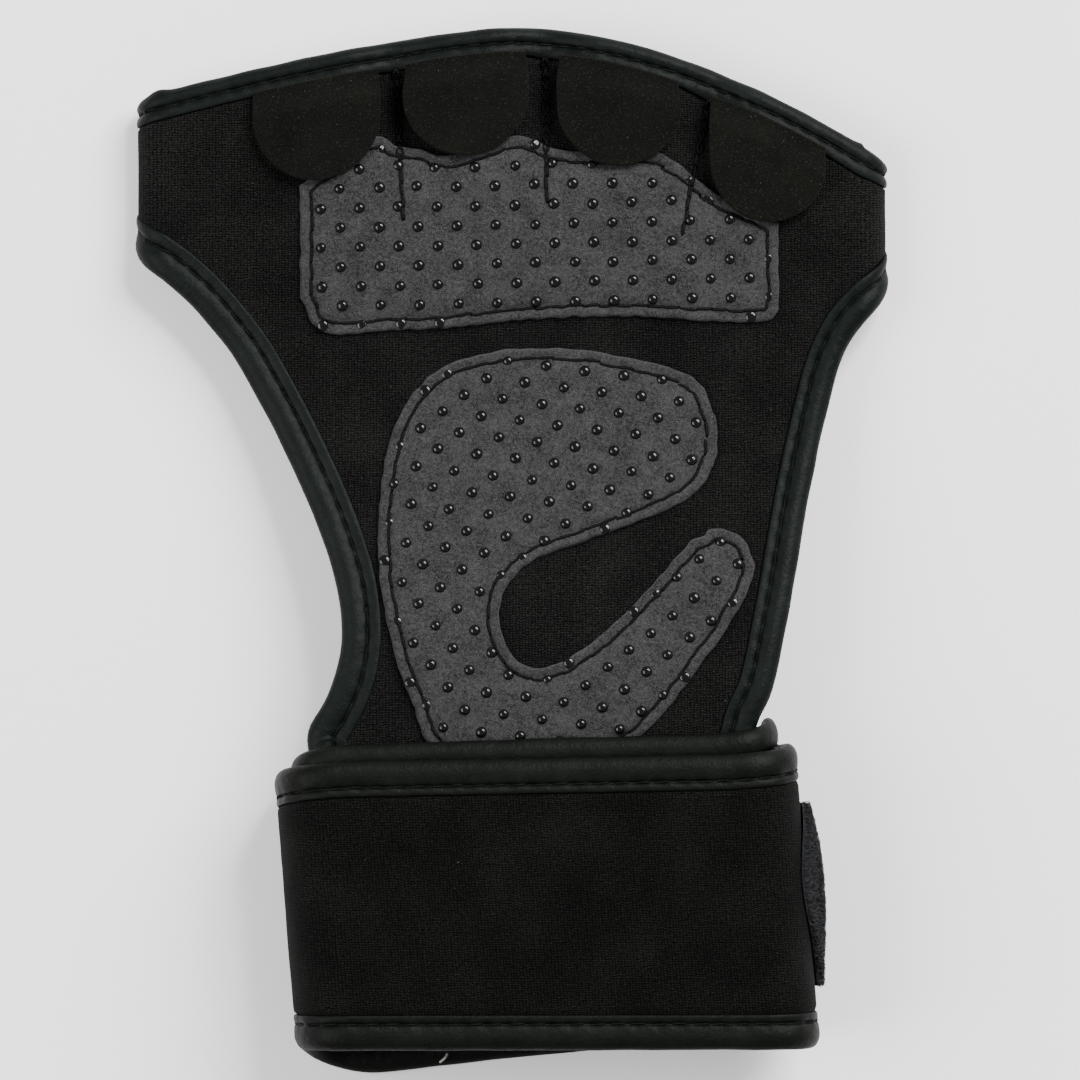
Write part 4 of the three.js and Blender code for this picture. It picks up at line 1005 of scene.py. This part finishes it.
# columns: outer edge's place across and down, inner edge's place across and down
PALM_PATCH_RIBS = np.array([
    [0.888, 0.167, 0.883, 0.305], [0.862, 0.1, 0.86, 0.345], [0.812, 0.065, 0.82, 0.382],
    [0.725, 0.038, 0.755, 0.412], [0.608, 0.017, 0.652, 0.45], [0.475, 0.002, 0.55, 0.484],
    [0.35, 0.005, 0.46, 0.512], [0.24, 0.025, 0.4, 0.54], [0.16, 0.055, 0.365, 0.567],
    [0.09, 0.12, 0.338, 0.602], [0.035, 0.22, 0.325, 0.64], [0.008, 0.36, 0.322, 0.675],
    [0.0, 0.49, 0.33, 0.71], [0.012, 0.62, 0.345, 0.745], [0.045, 0.76, 0.37, 0.775],
    [0.095, 0.885, 0.402, 0.79], [0.165, 1.0, 0.44, 0.79], [0.42, 1.03, 0.49, 0.775],
    [0.62, 1.0, 0.545, 0.745], [0.74, 0.92, 0.605, 0.7], [0.835, 0.81, 0.67, 0.645],
    [0.915, 0.71, 0.735, 0.58], [0.975, 0.615, 0.79, 0.523], [0.998, 0.55, 0.825, 0.487],
    [0.98, 0.498, 0.865, 0.467],
])
HEAD_TIP, HOOK_TIP = (0.9, 0.236), (0.925, 0.457)  # where the hook's two rounded ends reach
BORDER = 1.95  # from the cut edge to the stitch
CUT_ROLL, RAGGED = 0.55, 0.14  # how wide the cut edge is rounded, and how uneven it is
BORDER_FURROW, SEAM_FURROW = 0.42, 0.3  # depths of the border stitch and of a finger seam
PADDING, PADDING_REACH = 0.22, 4


def inside_edge(grid, outline):
    """Distance of the grid's points from the outline inwards, exactly 0 on its own rim."""
    inwards = distance(grid, outline)
    inwards[[0, -1]] = inwards[:, [0, -1]] = 0
    return inwards.clip(0)


def close_ends(count, edge=0.9):
    """Numbers from 0 to 1 that lie closer together towards both ends."""
    t = np.linspace(0, 1, count)
    return (1 - edge) * t + edge * (0.5 - 0.5 * np.cos(np.pi * t))


def finger_patch_grid():
    """Columns across the patch, each running from the lower edge to the upper edge."""
    table = FINGER_PATCH_SECTIONS
    across = close_ends(150, 0.6)
    row = np.interp(across, table[:, 0], np.arange(len(table)))
    low, high = spline(row, table[:, 1:])[..., 0], spline(row, table[:, 1:])[..., 1]
    share = low + (high - low) * close_ends(62, 0.6)[:, None]
    x = FINGER_PATCH["left"] + FINGER_PATCH["width"] * across
    return np.stack(np.broadcast_arrays(
        x, FINGER_PATCH["bottom"] + FINGER_PATCH["height"] * share), -1)


def palm_patch_grid():
    """Ribs along the hook, from its round head to its tip. At each end the last rib is closed
    by half an ellipse: its middle moves to the tip as its half length goes to nothing."""
    ribs = spline(np.linspace(0, len(PALM_PATCH_RIBS) - 1, 210), PALM_PATCH_RIBS)

    def cap(rib, tip):
        turn = np.linspace(0, np.pi / 2, 14)[1:, None]
        middle, half = (rib[:2] + rib[2:]) / 2, (rib[:2] - rib[2:]) / 2
        centre = middle + (np.array(tip) - middle) * np.sin(turn)
        reach = half * np.cos(turn)
        reach[-1] = 0
        return np.concatenate([centre + reach, centre - reach], -1)

    ribs = np.concatenate([cap(ribs[0], HEAD_TIP)[::-1], ribs, cap(ribs[-1], HOOK_TIP)])
    t = close_ends(44, 0.5)[:, None, None]
    share = ribs[:, :2] + (ribs[:, 2:] - ribs[:, :2]) * t
    corner = np.array([PALM_PATCH["left"], PALM_PATCH["top"]])
    return corner + share * [PALM_PATCH["width"], -PALM_PATCH["height"]]


def rim(grid):
    """The closed outline of a grid, once round its four sides."""
    sides = [grid[0], grid[1:, -1], grid[-1, -2::-1], grid[-2:0:-1, 0]]
    line = np.concatenate(sides)
    moved = np.linalg.norm(line - np.roll(line, 1, axis=0), axis=-1)
    return line[moved > 1e-6]


def inset(line, depth):
    """A closed outline moved inwards by depth, without the points that come too near it."""
    loop = evenly(np.concatenate([line, line[:1]]), 0.5)[0][:-1]
    step = np.roll(loop, -1, axis=0) - np.roll(loop, 1, axis=0)
    normal = unit(np.stack([-step[:, 1], step[:, 0]], -1))
    area = (loop[:, 0] * np.roll(loop[:, 1], -1) - np.roll(loop[:, 0], -1) * loop[:, 1]).sum()
    moved = loop + normal * depth * np.sign(area)
    return blur(moved[distance(moved, loop) > depth * 0.93], 2)


def patch_cover(spot, outline, share, seed):
    """Points, normals and the heights of the lower and upper face of a patch. The upper face
    is a quarter circle up from the cut edge, a furrow at the stitch and a soft padding
    inside it."""
    inwards = inside_edge(spot, outline)
    x, y = spot[..., 0], spot[..., 1]
    P, N = on_palm(x, y, share)
    roll_down = quarter_round(inwards, CUT_ROLL)
    padding = ease(inwards, BORDER, BORDER + PADDING_REACH)
    furrow = BORDER_FURROW * bell(inwards - BORDER, 0.6)
    seams = SEAM_FURROW * sum(bell(away(spot, seam_line(s, 12)), 0.8) for s in SEAMS)
    creases = 0.12 * gathers(x, y) + 0.07 * waves(x, y, 12, seed) + 0.04 * waves(x, y, 4, seed + 1)
    top = PATCH * roll_down + padding * (PADDING + creases) - furrow - seams
    edge_wave = 0.1 * waves(x, y, 5, seed + 2) * (1 - padding) * roll_down
    base = HALF + PATCH_GAP - 0.15
    return P, N, np.full(top.shape, base), base + np.maximum(top + edge_wave, 0.12 * roll_down)


def ragged(outline, grid, depth, seed):
    """The grid with its cut edge a little uneven: points near it move in and out by depth."""
    x, y = grid[..., 0], grid[..., 1]
    near = bell(distance(grid, outline), 1.5)[..., None]
    shift = np.stack([waves(x, y, 3.2, seed), waves(x, y, 3.2, seed + 1)], -1)
    return grid + shift * near * depth


def grip_patch(name, grid, share, node, seed):
    """A suede patch on the palm, and its outline. share is how much of a finger seam's valley
    it follows."""
    grid = ragged(rim(grid), grid, RAGGED, seed)
    outline = rim(grid)
    P, N, near, far = patch_cover(grid, outline, share, seed)
    flat = grid[..., 0], grid[..., 1]
    return cloth(name, P, N, near, far, flat, GRIP_SUEDE, node), outline


finger_grip, finger_outline = grip_patch("finger_patch_suede", finger_patch_grid(),
                                         PATCH_SEAM_SHARE, "finger_patch", 31)
palm_grip, palm_outline = grip_patch("palm_patch_suede", palm_patch_grid(), 1.0,
                                     "palm_patch", 41)

# %% [markdown]
# ## Pull tabs
# Four flaps of brushed microfibre are sewn in under the finger edge, one at each finger, to
# pull the glove off by. Each has straight sides and a round end, and lies over the knit and the
# patch. The grid fans out from the tape to the round end, and its edge is rounded over.

# %% Tabs
TABS = {"index_tab": (-0.524, 0.825, 10.7), "middle_tab": (-0.124, 0.866, 10.2),
        "ring_tab": (0.285, 0.845, 10.1), "little_tab": (0.683, 0.737, 9.9)}


TAB_TUCK = TOP_BINDING + GAP - 0.9  # a tab starts this far below the arch, under the tape
TAB_THINNED, TAB_ROLL, TAB_CURL = 0.22, 0.3, 0.12
TAB_SEAM_SHARE = 0.35  # how much of a seam's valley the tabs follow


def tab_outline(x, y, radius):
    """The upper end of each column, just under the tape, and its lower end on the half circle."""
    turn = np.linspace(0, np.pi, 90)
    px = x * WIDTH_SHARE - radius * np.cos(turn)
    high = np.stack([px, arch_y(px) - TAB_TUCK], -1)
    return high, np.stack([px, y * FINGER_LENGTH - radius * np.sin(turn)], -1)


def pull_tab(name, x, y, radius, seed):
    """A flap that starts in the tape, climbs over the patch and curls up a little at its end."""
    high, low = tab_outline(x, y, radius)
    spot = high + (low - high) * close_ends(60, 0.7)[:, None, None]
    x, y = spot[..., 0], spot[..., 1]
    inwards = inside_edge(spot, rim(spot))
    down = (arch_y(x) - TOP_BINDING - y).clip(0)
    P, N = on_palm(x, y, TAB_SEAM_SHARE)
    laid = HALF + GAP + (PATCH + PATCH_GAP) * ease(down, 0, 5)
    curl = TAB_CURL * np.exp(-inwards / 2.2) * ease(down, 3, 12)
    wavy = 0.12 * waves(x, y, 14, seed) * ease(down, 2, 8)
    middle = laid + TAB / 2 - 0.1 + curl + wavy
    half = (TAB / 2 - TAB_THINNED) * quarter_round(inwards, TAB_ROLL)
    return cloth(name + "_flap", P, N, middle - half, middle + half, (x, y), TAB_MICROFIBRE,
                 name)


tabs = [pull_tab(name, *place, 50 + 5 * k) for k, (name, place) in enumerate(TABS.items())]

# %% [markdown]
# ## Silicone dots
# The suede is printed with silicone dots in a square lattice with one more dot in the middle of
# each square, before the patch is cut. They are low domes, 1.9 mm across and a little over half
# a millimetre high. One dome's small grid is repeated at every lattice point on the patch.

# %% Dots
DOT_RADIUS, DOT_HEIGHT, LATTICE = 0.96, 0.62, 6.75
DOT_SIDES, DOT_MARGIN = 14, 0.75  # a dot's middle keeps this far from the cut edge
DOT_SEWN_FLAT = 0.45  # share of its height that is left to a dot under the border stitch
# columns: a ring's share of the radius, its share of the height
DOT_RINGS = np.array([
    [1.0, -0.25], [0.98, 0.12], [0.9, 0.42], [0.74, 0.72], [0.5, 0.92], [0.24, 0.99],
])


def lattice(outline, start, turn_degrees):
    """Points of the centred square lattice that lie well inside the outline."""
    k = np.arange(-30, 31)
    i, j = np.meshgrid(k, k)
    i, j = i.ravel(), j.ravel()
    both = (i + j) % 2 == 0
    turn = np.radians(turn_degrees)
    across, upward = np.array(
        [[np.cos(turn), np.sin(turn)], [-np.sin(turn), np.cos(turn)]]) * (LATTICE / 2)
    spots = np.array(start) + i[both, None] * across + j[both, None] * upward
    return spots[distance(spots, outline) > DOT_MARGIN]


def dots(name, spots, outline, share, seed):
    """Domes on the patch: rings of a circle whose height is a rounded power of the distance
    from the middle, sunk a little into the suede."""
    random = np.random.default_rng(seed)
    spots = spots + random.normal(0, 0.06, spots.shape)
    P, N, top = patch_top(spots, outline, share, seed)
    base = P + N * (top[:, None] - 0.05)
    side = unit(np.cross(N, [0.0, 1.0, 0.0]))
    up = np.cross(N, side)
    radius = DOT_RADIUS * random.uniform(0.93, 1.05, len(spots))
    rings, levels = DOT_RINGS.T
    free = ease(distance(spots, outline), BORDER - 0.4, BORDER + 0.5)
    sewn_flat = DOT_SEWN_FLAT + (1 - DOT_SEWN_FLAT) * free
    levels = (levels[:, None, None] * DOT_HEIGHT) * sewn_flat[:, None, None, None]
    turn = 2 * np.pi * np.arange(DOT_SIDES) / DOT_SIDES
    circle = side[:, None] * np.cos(turn)[:, None] + up[:, None] * np.sin(turn)[:, None]
    flat = circle[:, None] * (rings[:, None, None] * radius[:, None, None, None])
    points = base[:, None, None] + flat + N[:, None, None] * levels
    number = np.arange(points[..., 0].size).reshape(points.shape[:3])
    after = np.roll(number, -1, axis=2)
    cells = np.stack([number[:, :-1], after[:, :-1], after[:, 1:], number[:, 1:]], -1)
    faces = [cells.reshape(-1, 4), number[:, 0, ::-1], number[:, -1]]
    points = points.reshape(-1, 3)
    return make(name, points, outwards(points, faces), points[:, :2], SILICONE)


def patch_top(spots, outline, share, seed):
    """Points, normals and the upper face's height at single points of a patch: the grid
    function on a row of them, whose rim rule is kept away by a border row of copies."""
    padded = np.concatenate([spots[:1], spots, spots[-1:]])
    P, N, _, far = patch_cover(np.stack([padded] * 3), outline, share, seed)
    return P[1, 1:-1], N[1, 1:-1], far[1, 1:-1]


finger_spots = lattice(finger_outline, (-29.9, 63.3), 1.2)
under_tab = np.zeros(len(finger_spots), bool)
for place in TABS.values():
    high, low = tab_outline(*place)
    under_tab |= distance(finger_spots, np.concatenate([high, low[::-1]])) > -0.2
dots("finger_patch_dots", finger_spots[~under_tab], finger_outline, PATCH_SEAM_SHARE, 31)
dots("palm_patch_dots", lattice(palm_outline, (-6.1, 16.8), -7.0), palm_outline, 1.0, 41)

# %% [markdown]
# ## Wrist strap
# The strap is a long padded strip, wound nearly twice round the wrist. Seen along the arm it is
# a flattened spiral: straight runs over palm and back, joined by superelliptic sides, each turn
# one layer outside the last. The line is made once, in steps of equal length, and the strip is
# carried along it. Where the strip shifts sideways between turns, its edges follow a table.

# %% Strap line
STRAP_SPAN, STRAP_CENTRE, STRAP_END = 90.9, 6.05, 22.0
TURN_DEPTH, TURN_POWER, LOOP_START, HOOK_START = 6.0, 2.8, -12.0, -6.0
SIDE_STEPS, LINE_STEP = 240, 0.45
# columns: station, shift of the upper edge and of the lower edge as shares of STRAP_WIDTH
STRAP_EDGES = np.array([
    [0, 0.152, 0.13], [11, 0.004, 0.0], [24, 0.062, 0.008],
    [36, -0.044, -0.002], [40, -0.07, -0.106], [44, -0.02, 0.0],
])


def strap_line():
    """X, Z and station number along the spiral. A side is a superellipse: cosine and sine are
    raised to 2 over TURN_POWER, which makes it boxier than an ellipse."""
    thumb_outer = STRAP_CENTRE - STRAP_SPAN / 2 + HALF
    far_outer = STRAP_CENTRE + STRAP_SPAN / 2 - HALF
    power = lambda v: np.sign(v) * np.abs(v) ** (2 / TURN_POWER)

    def side(hand, outermost, top, low, depth, start, stop, station, stations):
        angle = np.linspace(start, stop, SIDE_STEPS)
        x = outermost - hand * depth * (1 - power(np.cos(angle).clip(0)))
        z = (top + low) / 2 + (top - low) / 2 * power(np.sin(angle))
        return np.stack([x, z, np.linspace(station, station + stations, SIDE_STEPS)], -1)

    q, deep = np.pi / 2, TURN_DEPTH + LAYER
    parts = [
        side(1, far_outer - LAYER, Z_INNER, Z_BACK, TURN_DEPTH, 0, q, 0, 4),
        side(-1, thumb_outer + LAYER, Z_INNER, Z_BACK, TURN_DEPTH, q, -q, 7, 8),
        [[LOOP_START, Z_BACK, 17]],
        side(1, far_outer, Z_OUTER, Z_BACK, deep, -q, q, 20, 8),
        side(-1, thumb_outer, Z_OUTER, Z_END, deep, q, -q, 31, 9),
        [[HOOK_START, Z_END, 42], [STRAP_END, Z_END, 44]],
    ]
    line = np.concatenate(parts)
    moved = np.linalg.norm(np.diff(line[:, :2], axis=0), axis=-1)
    line = line[np.concatenate([[True], moved > 1e-9])]
    flat, extra = evenly(line[:, :2], LINE_STEP, (line[:, 2:],))
    return np.concatenate([blur(flat, 4), extra], -1)


STRAP = strap_line()
STRAP_ALONG = lengths(STRAP[:, :2])
station_at = lambda number: np.interp(number, STRAP[:, 2], STRAP_ALONG)


def strap_edge(along, column):
    """Height of the strap's finished edge: half its width off its middle, plus the table's
    shift, rounded between its rows by a short running mean."""
    station = np.interp(along[:, None] + np.linspace(-5, 5, 11), STRAP_ALONG, STRAP[:, 2])
    shift = np.interp(station, STRAP_EDGES[:, 0], STRAP_EDGES[:, column]).mean(-1)
    side = 0.5 if column == 1 else -0.5
    return STRAP_MIDDLE + STRAP_WIDTH * (side + shift)


def on_strap(along, y):
    """Points and outward normals of the strap's middle surface. It leans sideways as the
    forearm does, so X shifts in proportion to the height."""
    along, y = np.broadcast_arrays(along, y)
    column = lambda values: np.interp(along, STRAP_ALONG, values)
    slope = np.gradient(STRAP[:, :2], STRAP_ALONG, axis=0)
    step_x, step_z = column(slope[:, 0]), column(slope[:, 1])
    N = unit(np.stack([step_z, STRAP_LEAN * step_z, -step_x], -1))
    x = column(STRAP[:, 0]) + STRAP_LEAN * (STRAP_MIDDLE - y)
    return np.stack([x, y, column(STRAP[:, 1])], -1), N


print("strap:", round(STRAP_ALONG[-1]), "mm long as wound")

# %% Strap and its tapes
STRAP_CELL, STRAP_ROWS = 0.95, 66
CLOSING_END = 50  # the last millimetres of the strap, that lie on the floor and stay flat


def wrist_strap():
    """A grid of columns along the spiral, each from the lower to the upper edge."""
    along = np.linspace(0, STRAP_ALONG[-1], int(STRAP_ALONG[-1] / STRAP_CELL))
    high, low = strap_edge(along, 1) - LIP, strap_edge(along, 2) + LIP
    t = np.linspace(0, 1, STRAP_ROWS)[:, None]
    y = low + (high - low) * t
    a = np.broadcast_to(along, y.shape)
    P, N = on_strap(a, y)
    edge = np.minimum(y - low, high - y)
    free = past_tape(edge, STRAP_BINDING)
    half = half_thickness(free)
    stand = free * (0.12 * waves(a, y, 30, 61) + 0.03 * waves(a, y, 8, 62))
    stand = np.where(STRAP_ALONG[-1] - a < CLOSING_END, np.minimum(stand, 0), stand)
    return cloth("wrist_strap_cloth", P, N, -half, half + stand, (a, y), STRAP_KNIT,
                 "wrist_strap")


strap = wrist_strap()
strap_steps = np.linspace(0, STRAP_ALONG[-1], int(STRAP_ALONG[-1] / EDGE_STEP))
strap_seams = []
for name, column, side in (("upper", 1, -1), ("lower", 2, 1)):
    height = strap_edge(strap_steps, column) + side * LIP
    edge_line = np.stack([strap_steps, height], -1)
    lip_line = edge_line + [0, side * (STRAP_BINDING - LIP)]
    strap_seams += tape(f"strap_{name}_tape", edge_line, lip_line, on_strap, 1.55,
                        STRAP_LEATHERETTE, f"strap_binding_{name}",
                        swell=0.16, rise=0.02, seed=71 + column)

# %% [markdown]
# The strap holds itself shut with hook tape on loop pile. The pile is a dense mat of tiny nylon
# loops, and a sliver of it shows at the little-finger side, beside the strap's fold. It is a
# base sheet with a few thousand loops standing on it. The hook tape is under the closing end,
# where nothing shows, so it stays plain.

# %% Hook and loop
LOOP_UPPER, LOOP_LOWER, HOOK_MARGIN = -43.5, -75.3, 2.0
pile_from, pile_to = station_at(17), station_at(25)
LOOPS, LOOP_RADIUS, LOOP_SIDES, YARN = 4000, 0.6, 8, 0.06
PILE_SWELL, PILE_BOW = 1.3, 7.0


def pile_arch(y):
    """0 at both ends of the pile's height and 1 a little above its middle: a half sine."""
    up = np.clip((y - LOOP_LOWER) / (LOOP_UPPER - LOOP_LOWER), 0, 1)
    return np.sin(np.pi * up**1.25)


def pile_edge(y):
    """Where the pile ends along the strap: its sewn edge bows towards the palm half way up."""
    return pile_to + PILE_BOW * (pile_arch(y) ** 0.7 - 0.8)


def bulge(a, y):
    """How far the pile swells at the strap's side, where the closed strap pushes it out."""
    edge = pile_edge(y)
    side = ease(a, station_at(20.3), station_at(22)) * (1 - ease(a, edge - 3.5, edge))
    return PILE_SWELL * pile_arch(y) * side


def fastener(name, start, stop, high, low, face, node, seed):
    """A thin sheet on one face of the strap, from start to stop(y), with rounded edges and an
    uneven surface."""
    t, y = np.meshgrid(np.linspace(0, 1, 120), np.linspace(low, high, 64))
    a = start + (stop(y) - start) * t
    P, N = on_strap(a, y)
    edge = np.minimum(np.minimum(a - start, stop(y) - a), np.minimum(y - low, high - y))
    rounded = quarter_round(edge, 0.6)
    rough = 0.08 * waves(a, y, 1.9, seed) * rounded
    near = face * (HALF + GAP) * np.ones_like(a)
    far = near + face * (FASTENER * 0.75 * rounded + rough + (face > 0) * bulge(a, y) * rounded)
    return cloth(name, P, N, np.minimum(near, far), np.maximum(near, far), (a, y), LOOP_PILE,
                 node)


def standing_loops(start, stop, high, low):
    """Small rings at random places and turns, their lower third sunk in the base."""
    random = np.random.default_rng(91)
    y = random.uniform(low, high, LOOPS)
    a = start + (stop(y) - start) * random.uniform(0, 1, LOOPS) ** 0.6
    P, N = on_strap(a, y)
    turn, lean = random.uniform(0, np.pi, LOOPS), random.normal(0, 0.5, (LOOPS, 1))
    across = np.stack([np.cos(turn) * N[:, 2], np.sin(turn), -np.cos(turn) * N[:, 0]], -1)
    up = unit(N + lean * np.cross(N, across))
    radius = LOOP_RADIUS * random.uniform(0.5, 1.4, (LOOPS, 1, 1))
    angle = 2 * np.pi * np.arange(LOOP_SIDES)[:, None] / LOOP_SIDES
    centre = P + N * (HALF + GAP + FASTENER * 0.72 + bulge(a, y))[:, None]
    rings = centre[:, None] + radius * (across[:, None] * np.cos(angle) * 0.8
                                        + up[:, None] * (np.sin(angle) + 0.3))
    points, faces, uv = tubes(rings, YARN, sides=3, closed=True)
    return make("loop_pile_loops", points, faces, uv, LOOP_PILE)


pile_base = fastener("loop_pile_base", pile_from, pile_edge, LOOP_UPPER, LOOP_LOWER, 1,
                     "loop_patch", 81)
standing_loops(station_at(21), lambda y: pile_edge(y) - 0.1, LOOP_UPPER - 0.3, LOOP_LOWER + 0.3)
hook_base = fastener("hook_tape", station_at(42), lambda y: STRAP_ALONG[-1] + 0 * y,
                     LOOP_UPPER - HOOK_MARGIN, LOOP_LOWER + HOOK_MARGIN, -1, "hook_patch",
                     82)

# %% [markdown]
# ## Stitches
# A lockstitch shows as short lengths of thread with a needle hole between them. Each is a small
# arc of round thread that dives into the cloth at both ends. All the stitches of a seam are
# made at once, from the seam's line and the normals along it.

# %% Stitches
SEAM_SWAY = 5.2  # the threads between the tabs cross every half of this
TAPE_THREAD = {"radius": 0.2, "ride": 0.7}
BORDER_THREAD = {"pitch": 2.8, "length": 3.0, "radius": 0.26, "wander": 0.1, "dip": 0.3,
                 "ride": 0.7}
SEAM_THREAD = {"pitch": 2.1, "length": 2.5, "radius": 0.23, "wander": 0.12, "dip": 0.4,
               "ride": 1.5}


def stitch_arcs(P, N, random, pitch, length, radius, ride, wander=0.05, dip=1.5):
    """The middle lines of stitches along a seam: seven points each. They ride on the cloth
    and dive into it at the ends, by ride and dip thread radii, and wander sideways."""
    along = lengths(P)
    count = max(int(along[-1] / pitch), 1)
    middle = (np.arange(count) + 0.5) * along[-1] / count
    middle += random.normal(0, 0.04 * pitch, count)
    t = np.linspace(-1, 1, 7)
    at = middle[:, None] + t * length / 2 * random.uniform(0.92, 1.05, (count, 1))
    point, normal = sampled(P, along, at), sampled(N, along, at)
    step = np.gradient(point, axis=1)
    aside = np.cross(normal, step)
    aside /= np.linalg.norm(aside, axis=-1, keepdims=True).clip(1e-9)
    slant = random.normal(0, wander, (count, 1, 1)) + 0.07 * t[:, None]
    height = radius * (ride - (dip + ride) * np.abs(t[:, None]) ** 3.5)
    return point + normal * height + aside * slant


def stitches(name, runs, slot, **thread_values):
    """One piece with the stitches of several runs, each run a line of points and normals."""
    random = np.random.default_rng(5)
    arcs = np.concatenate([stitch_arcs(P, N, random, **thread_values) for P, N in runs])
    points, faces, uv = tubes(arcs, thread_values["radius"])
    print(len(arcs), "stitches")
    make(name, points, faces, uv, THREAD)


def on_patch(line, outline, share, seed):
    """Points and normals of a line that lies on a patch."""
    P, N, top = patch_top(line, outline, share, seed)
    return P + N * top[:, None], N


stitches("top_binding_stitches", top_seams, "binding_leatherette", pitch=3.4, length=3.2,
         **TAPE_THREAD)
stitches("side_binding_stitches", side_seams, "binding_leatherette", pitch=3.6, length=3.3,
         **TAPE_THREAD)
stitches("strap_binding_stitches", strap_seams, "strap_leatherette", pitch=3.7, length=3.2,
         **TAPE_THREAD)
for name, outline, share, seed in (("finger", finger_outline, PATCH_SEAM_SHARE, 31),
                                   ("palm", palm_outline, 1.0, 41)):
    border = on_patch(inset(outline, BORDER), outline, share, seed)
    stitches(f"{name}_patch_stitches", [border], "grip_suede", **BORDER_THREAD)


def seam_run(seam):
    """Points and normals along a finger seam, on the knit and then on the patch."""
    line = seam_line(seam, 80)
    line = line[arch_y(line[:, 0]) - line[:, 1] > TOP_BINDING - 0.4]
    covered = (distance(line, finger_outline) > 0)[:, None]
    knit, N = on_palm(line[:, 0], line[:, 1])
    knit = knit + N * (HALF + palm_detail(line[:, 0], line[:, 1]))[:, None]
    suede_top, M = on_patch(line, finger_outline, PATCH_SEAM_SHARE, 31)
    return np.where(covered, suede_top, knit), np.where(covered, M, N)


def strands(run):
    """The seam's line twice, each strand swaying across it, half a sway apart."""
    P, N = run
    along = lengths(P)[:, None]
    knit = ease(P[:, 1:2], 68, 70)
    sway = 0.5 * knit * np.sin(2 * np.pi * along / SEAM_SWAY)
    return [(P + sway * side * [1, 0, 0], N) for side in (-1, 1)]


seam_runs = sum((strands(seam_run(seam)) for seam in SEAMS), [])
stitches("finger_seam_stitches", seam_runs, "neoprene_knit", **SEAM_THREAD)

# %% [markdown]
# A pale end of thread stands out of the closing end's edge, where the machine's seam stopped.

# %% Thread end
TAIL = [[-12.6, -88.9, 3.9], [-12.1, -88.5, 4.4], [-11.6, -88.0, 4.6], [-11.3, -87.4, 4.2]]
LOOSE_THREAD = material("loose thread", lambda tree: {}, Roughness=0.8,
                        Base_Color=linear("#8d908c"))
points, faces, uv = tubes(spline(np.linspace(0, 3, 12), TAIL)[None], radius=0.2)
make("thread_end", points, faces, uv, LOOSE_THREAD)

# %% [markdown]
# ## Floor and light
# The floor is a plain pale sheet. The light is soft and comes mostly from the upper right, from
# a large panel, with a weaker one on the left, so that folds and dots show without hard
# shadows.

# %% Floor and lights
FLOOR_SIZE, WORLD_STRENGTH = 3.0, 0.45
# place and width in metres, power in watts
PANELS = {"key panel": ((0.75, 0.8, 1.0), 0.9, 46), "small panel": ((0.35, 0.75, 1.1), 0.16, 6),
          "fill panel": ((-0.9, -0.1, 0.9), 0.9, 20)}


def floor_sheet():
    """A square of paper under the glove."""
    corners = np.array([[-1, -1, 0], [1, -1, 0], [1, 1, 0], [-1, 1, 0]]) * FLOOR_SIZE / 2
    mesh = bpy.data.meshes.new("floor")
    mesh.from_pydata(corners.tolist(), [], [[0, 1, 2, 3]])
    mesh.materials.append(material("white paper", lambda tree: {}, Roughness=0.9,
                                   Base_Color=linear("#fbfbfb")))
    floor = bpy.data.objects.new("floor", mesh)
    bpy.context.scene.collection.objects.link(floor)
    floor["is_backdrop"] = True


def panel_light(name, place, width, power):
    """A square light panel that faces the glove."""
    data = bpy.data.lights.new(name, "AREA")
    data.size, data.energy = width, power
    light = bpy.data.objects.new(name, data)
    light.location = place
    light.rotation_euler = (-Vector(place)).to_track_quat("-Z", "Y").to_euler()
    bpy.context.scene.collection.objects.link(light)


floor_sheet()
for name, values in PANELS.items():
    panel_light(name, *values)
world = bpy.data.worlds.new("studio")
world.use_nodes = True
background = world.node_tree.nodes["Background"]
background.inputs["Color"].default_value = (1, 1, 1, 1)
background.inputs["Strength"].default_value = WORLD_STRENGTH
bpy.context.scene.world = world
print("stage and lights are ready")

# %% [markdown]
# ## What each cloth was cut to
# A UV map here is the flat cloth in metres, so it also gives each cut's width, length and area.
# The tapes are strips as wide as their profile is long.

# %% Sheets
def cut(piece):
    """Width, length and area of the flat cloth, from the piece's UV map. The area is half of
    what the faces cover there, as a sheet has two faces, and each face's is half the sum of
    its corners' cross products."""
    mesh = piece.data
    uv = np.zeros(2 * len(mesh.loops), np.float32)
    mesh.uv_layers[0].data.foreach_get("uv", uv)
    uv = uv.reshape(-1, 2).astype(float)
    first, corners = np.zeros((2, len(mesh.polygons)), np.int32)
    mesh.polygons.foreach_get("loop_start", first)
    mesh.polygons.foreach_get("loop_total", corners)
    after = np.arange(len(uv)) + 1
    after[first + corners - 1] = first
    cross = uv[:, 0] * uv[after, 1] - uv[after, 0] * uv[:, 1]
    return np.ptp(uv, axis=0), np.abs(np.add.reduceat(cross, first)).sum() / 4


SHEETS = [
    (panel, "folded", ["floor", "knuckle_band"]), (band, "laid", ["floor"]),
    (finger_grip, "laid", ["palm_panel"]), (palm_grip, "laid", ["palm_panel"]),
    (strap, "folded", ["palm_panel", "floor"]), (pile_base, "laid", ["wrist_strap"]),
    (hook_base, "laid", ["wrist_strap"]), *((tab, "laid", ["palm_panel"]) for tab in tabs),
]
for piece, held, under in SHEETS:
    size, area = cut(piece)
    min(float(area), float(size.prod()))
    print(piece.name, "was cut to", (size / MM).round(1), "mm,", round(area / MM**2), "mm2")

# %% Measure the sizes and print them
VISUAL_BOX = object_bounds()


def plain(value):
    """Nested lists of plain numbers."""
    return [plain(v) for v in value] if hasattr(value, "__len__") else float(value)


{"cad": plain(CAD_BOX), "visual": plain(VISUAL_BOX)}
print("CAD box", CAD_BOX, "visual box", VISUAL_BOX)
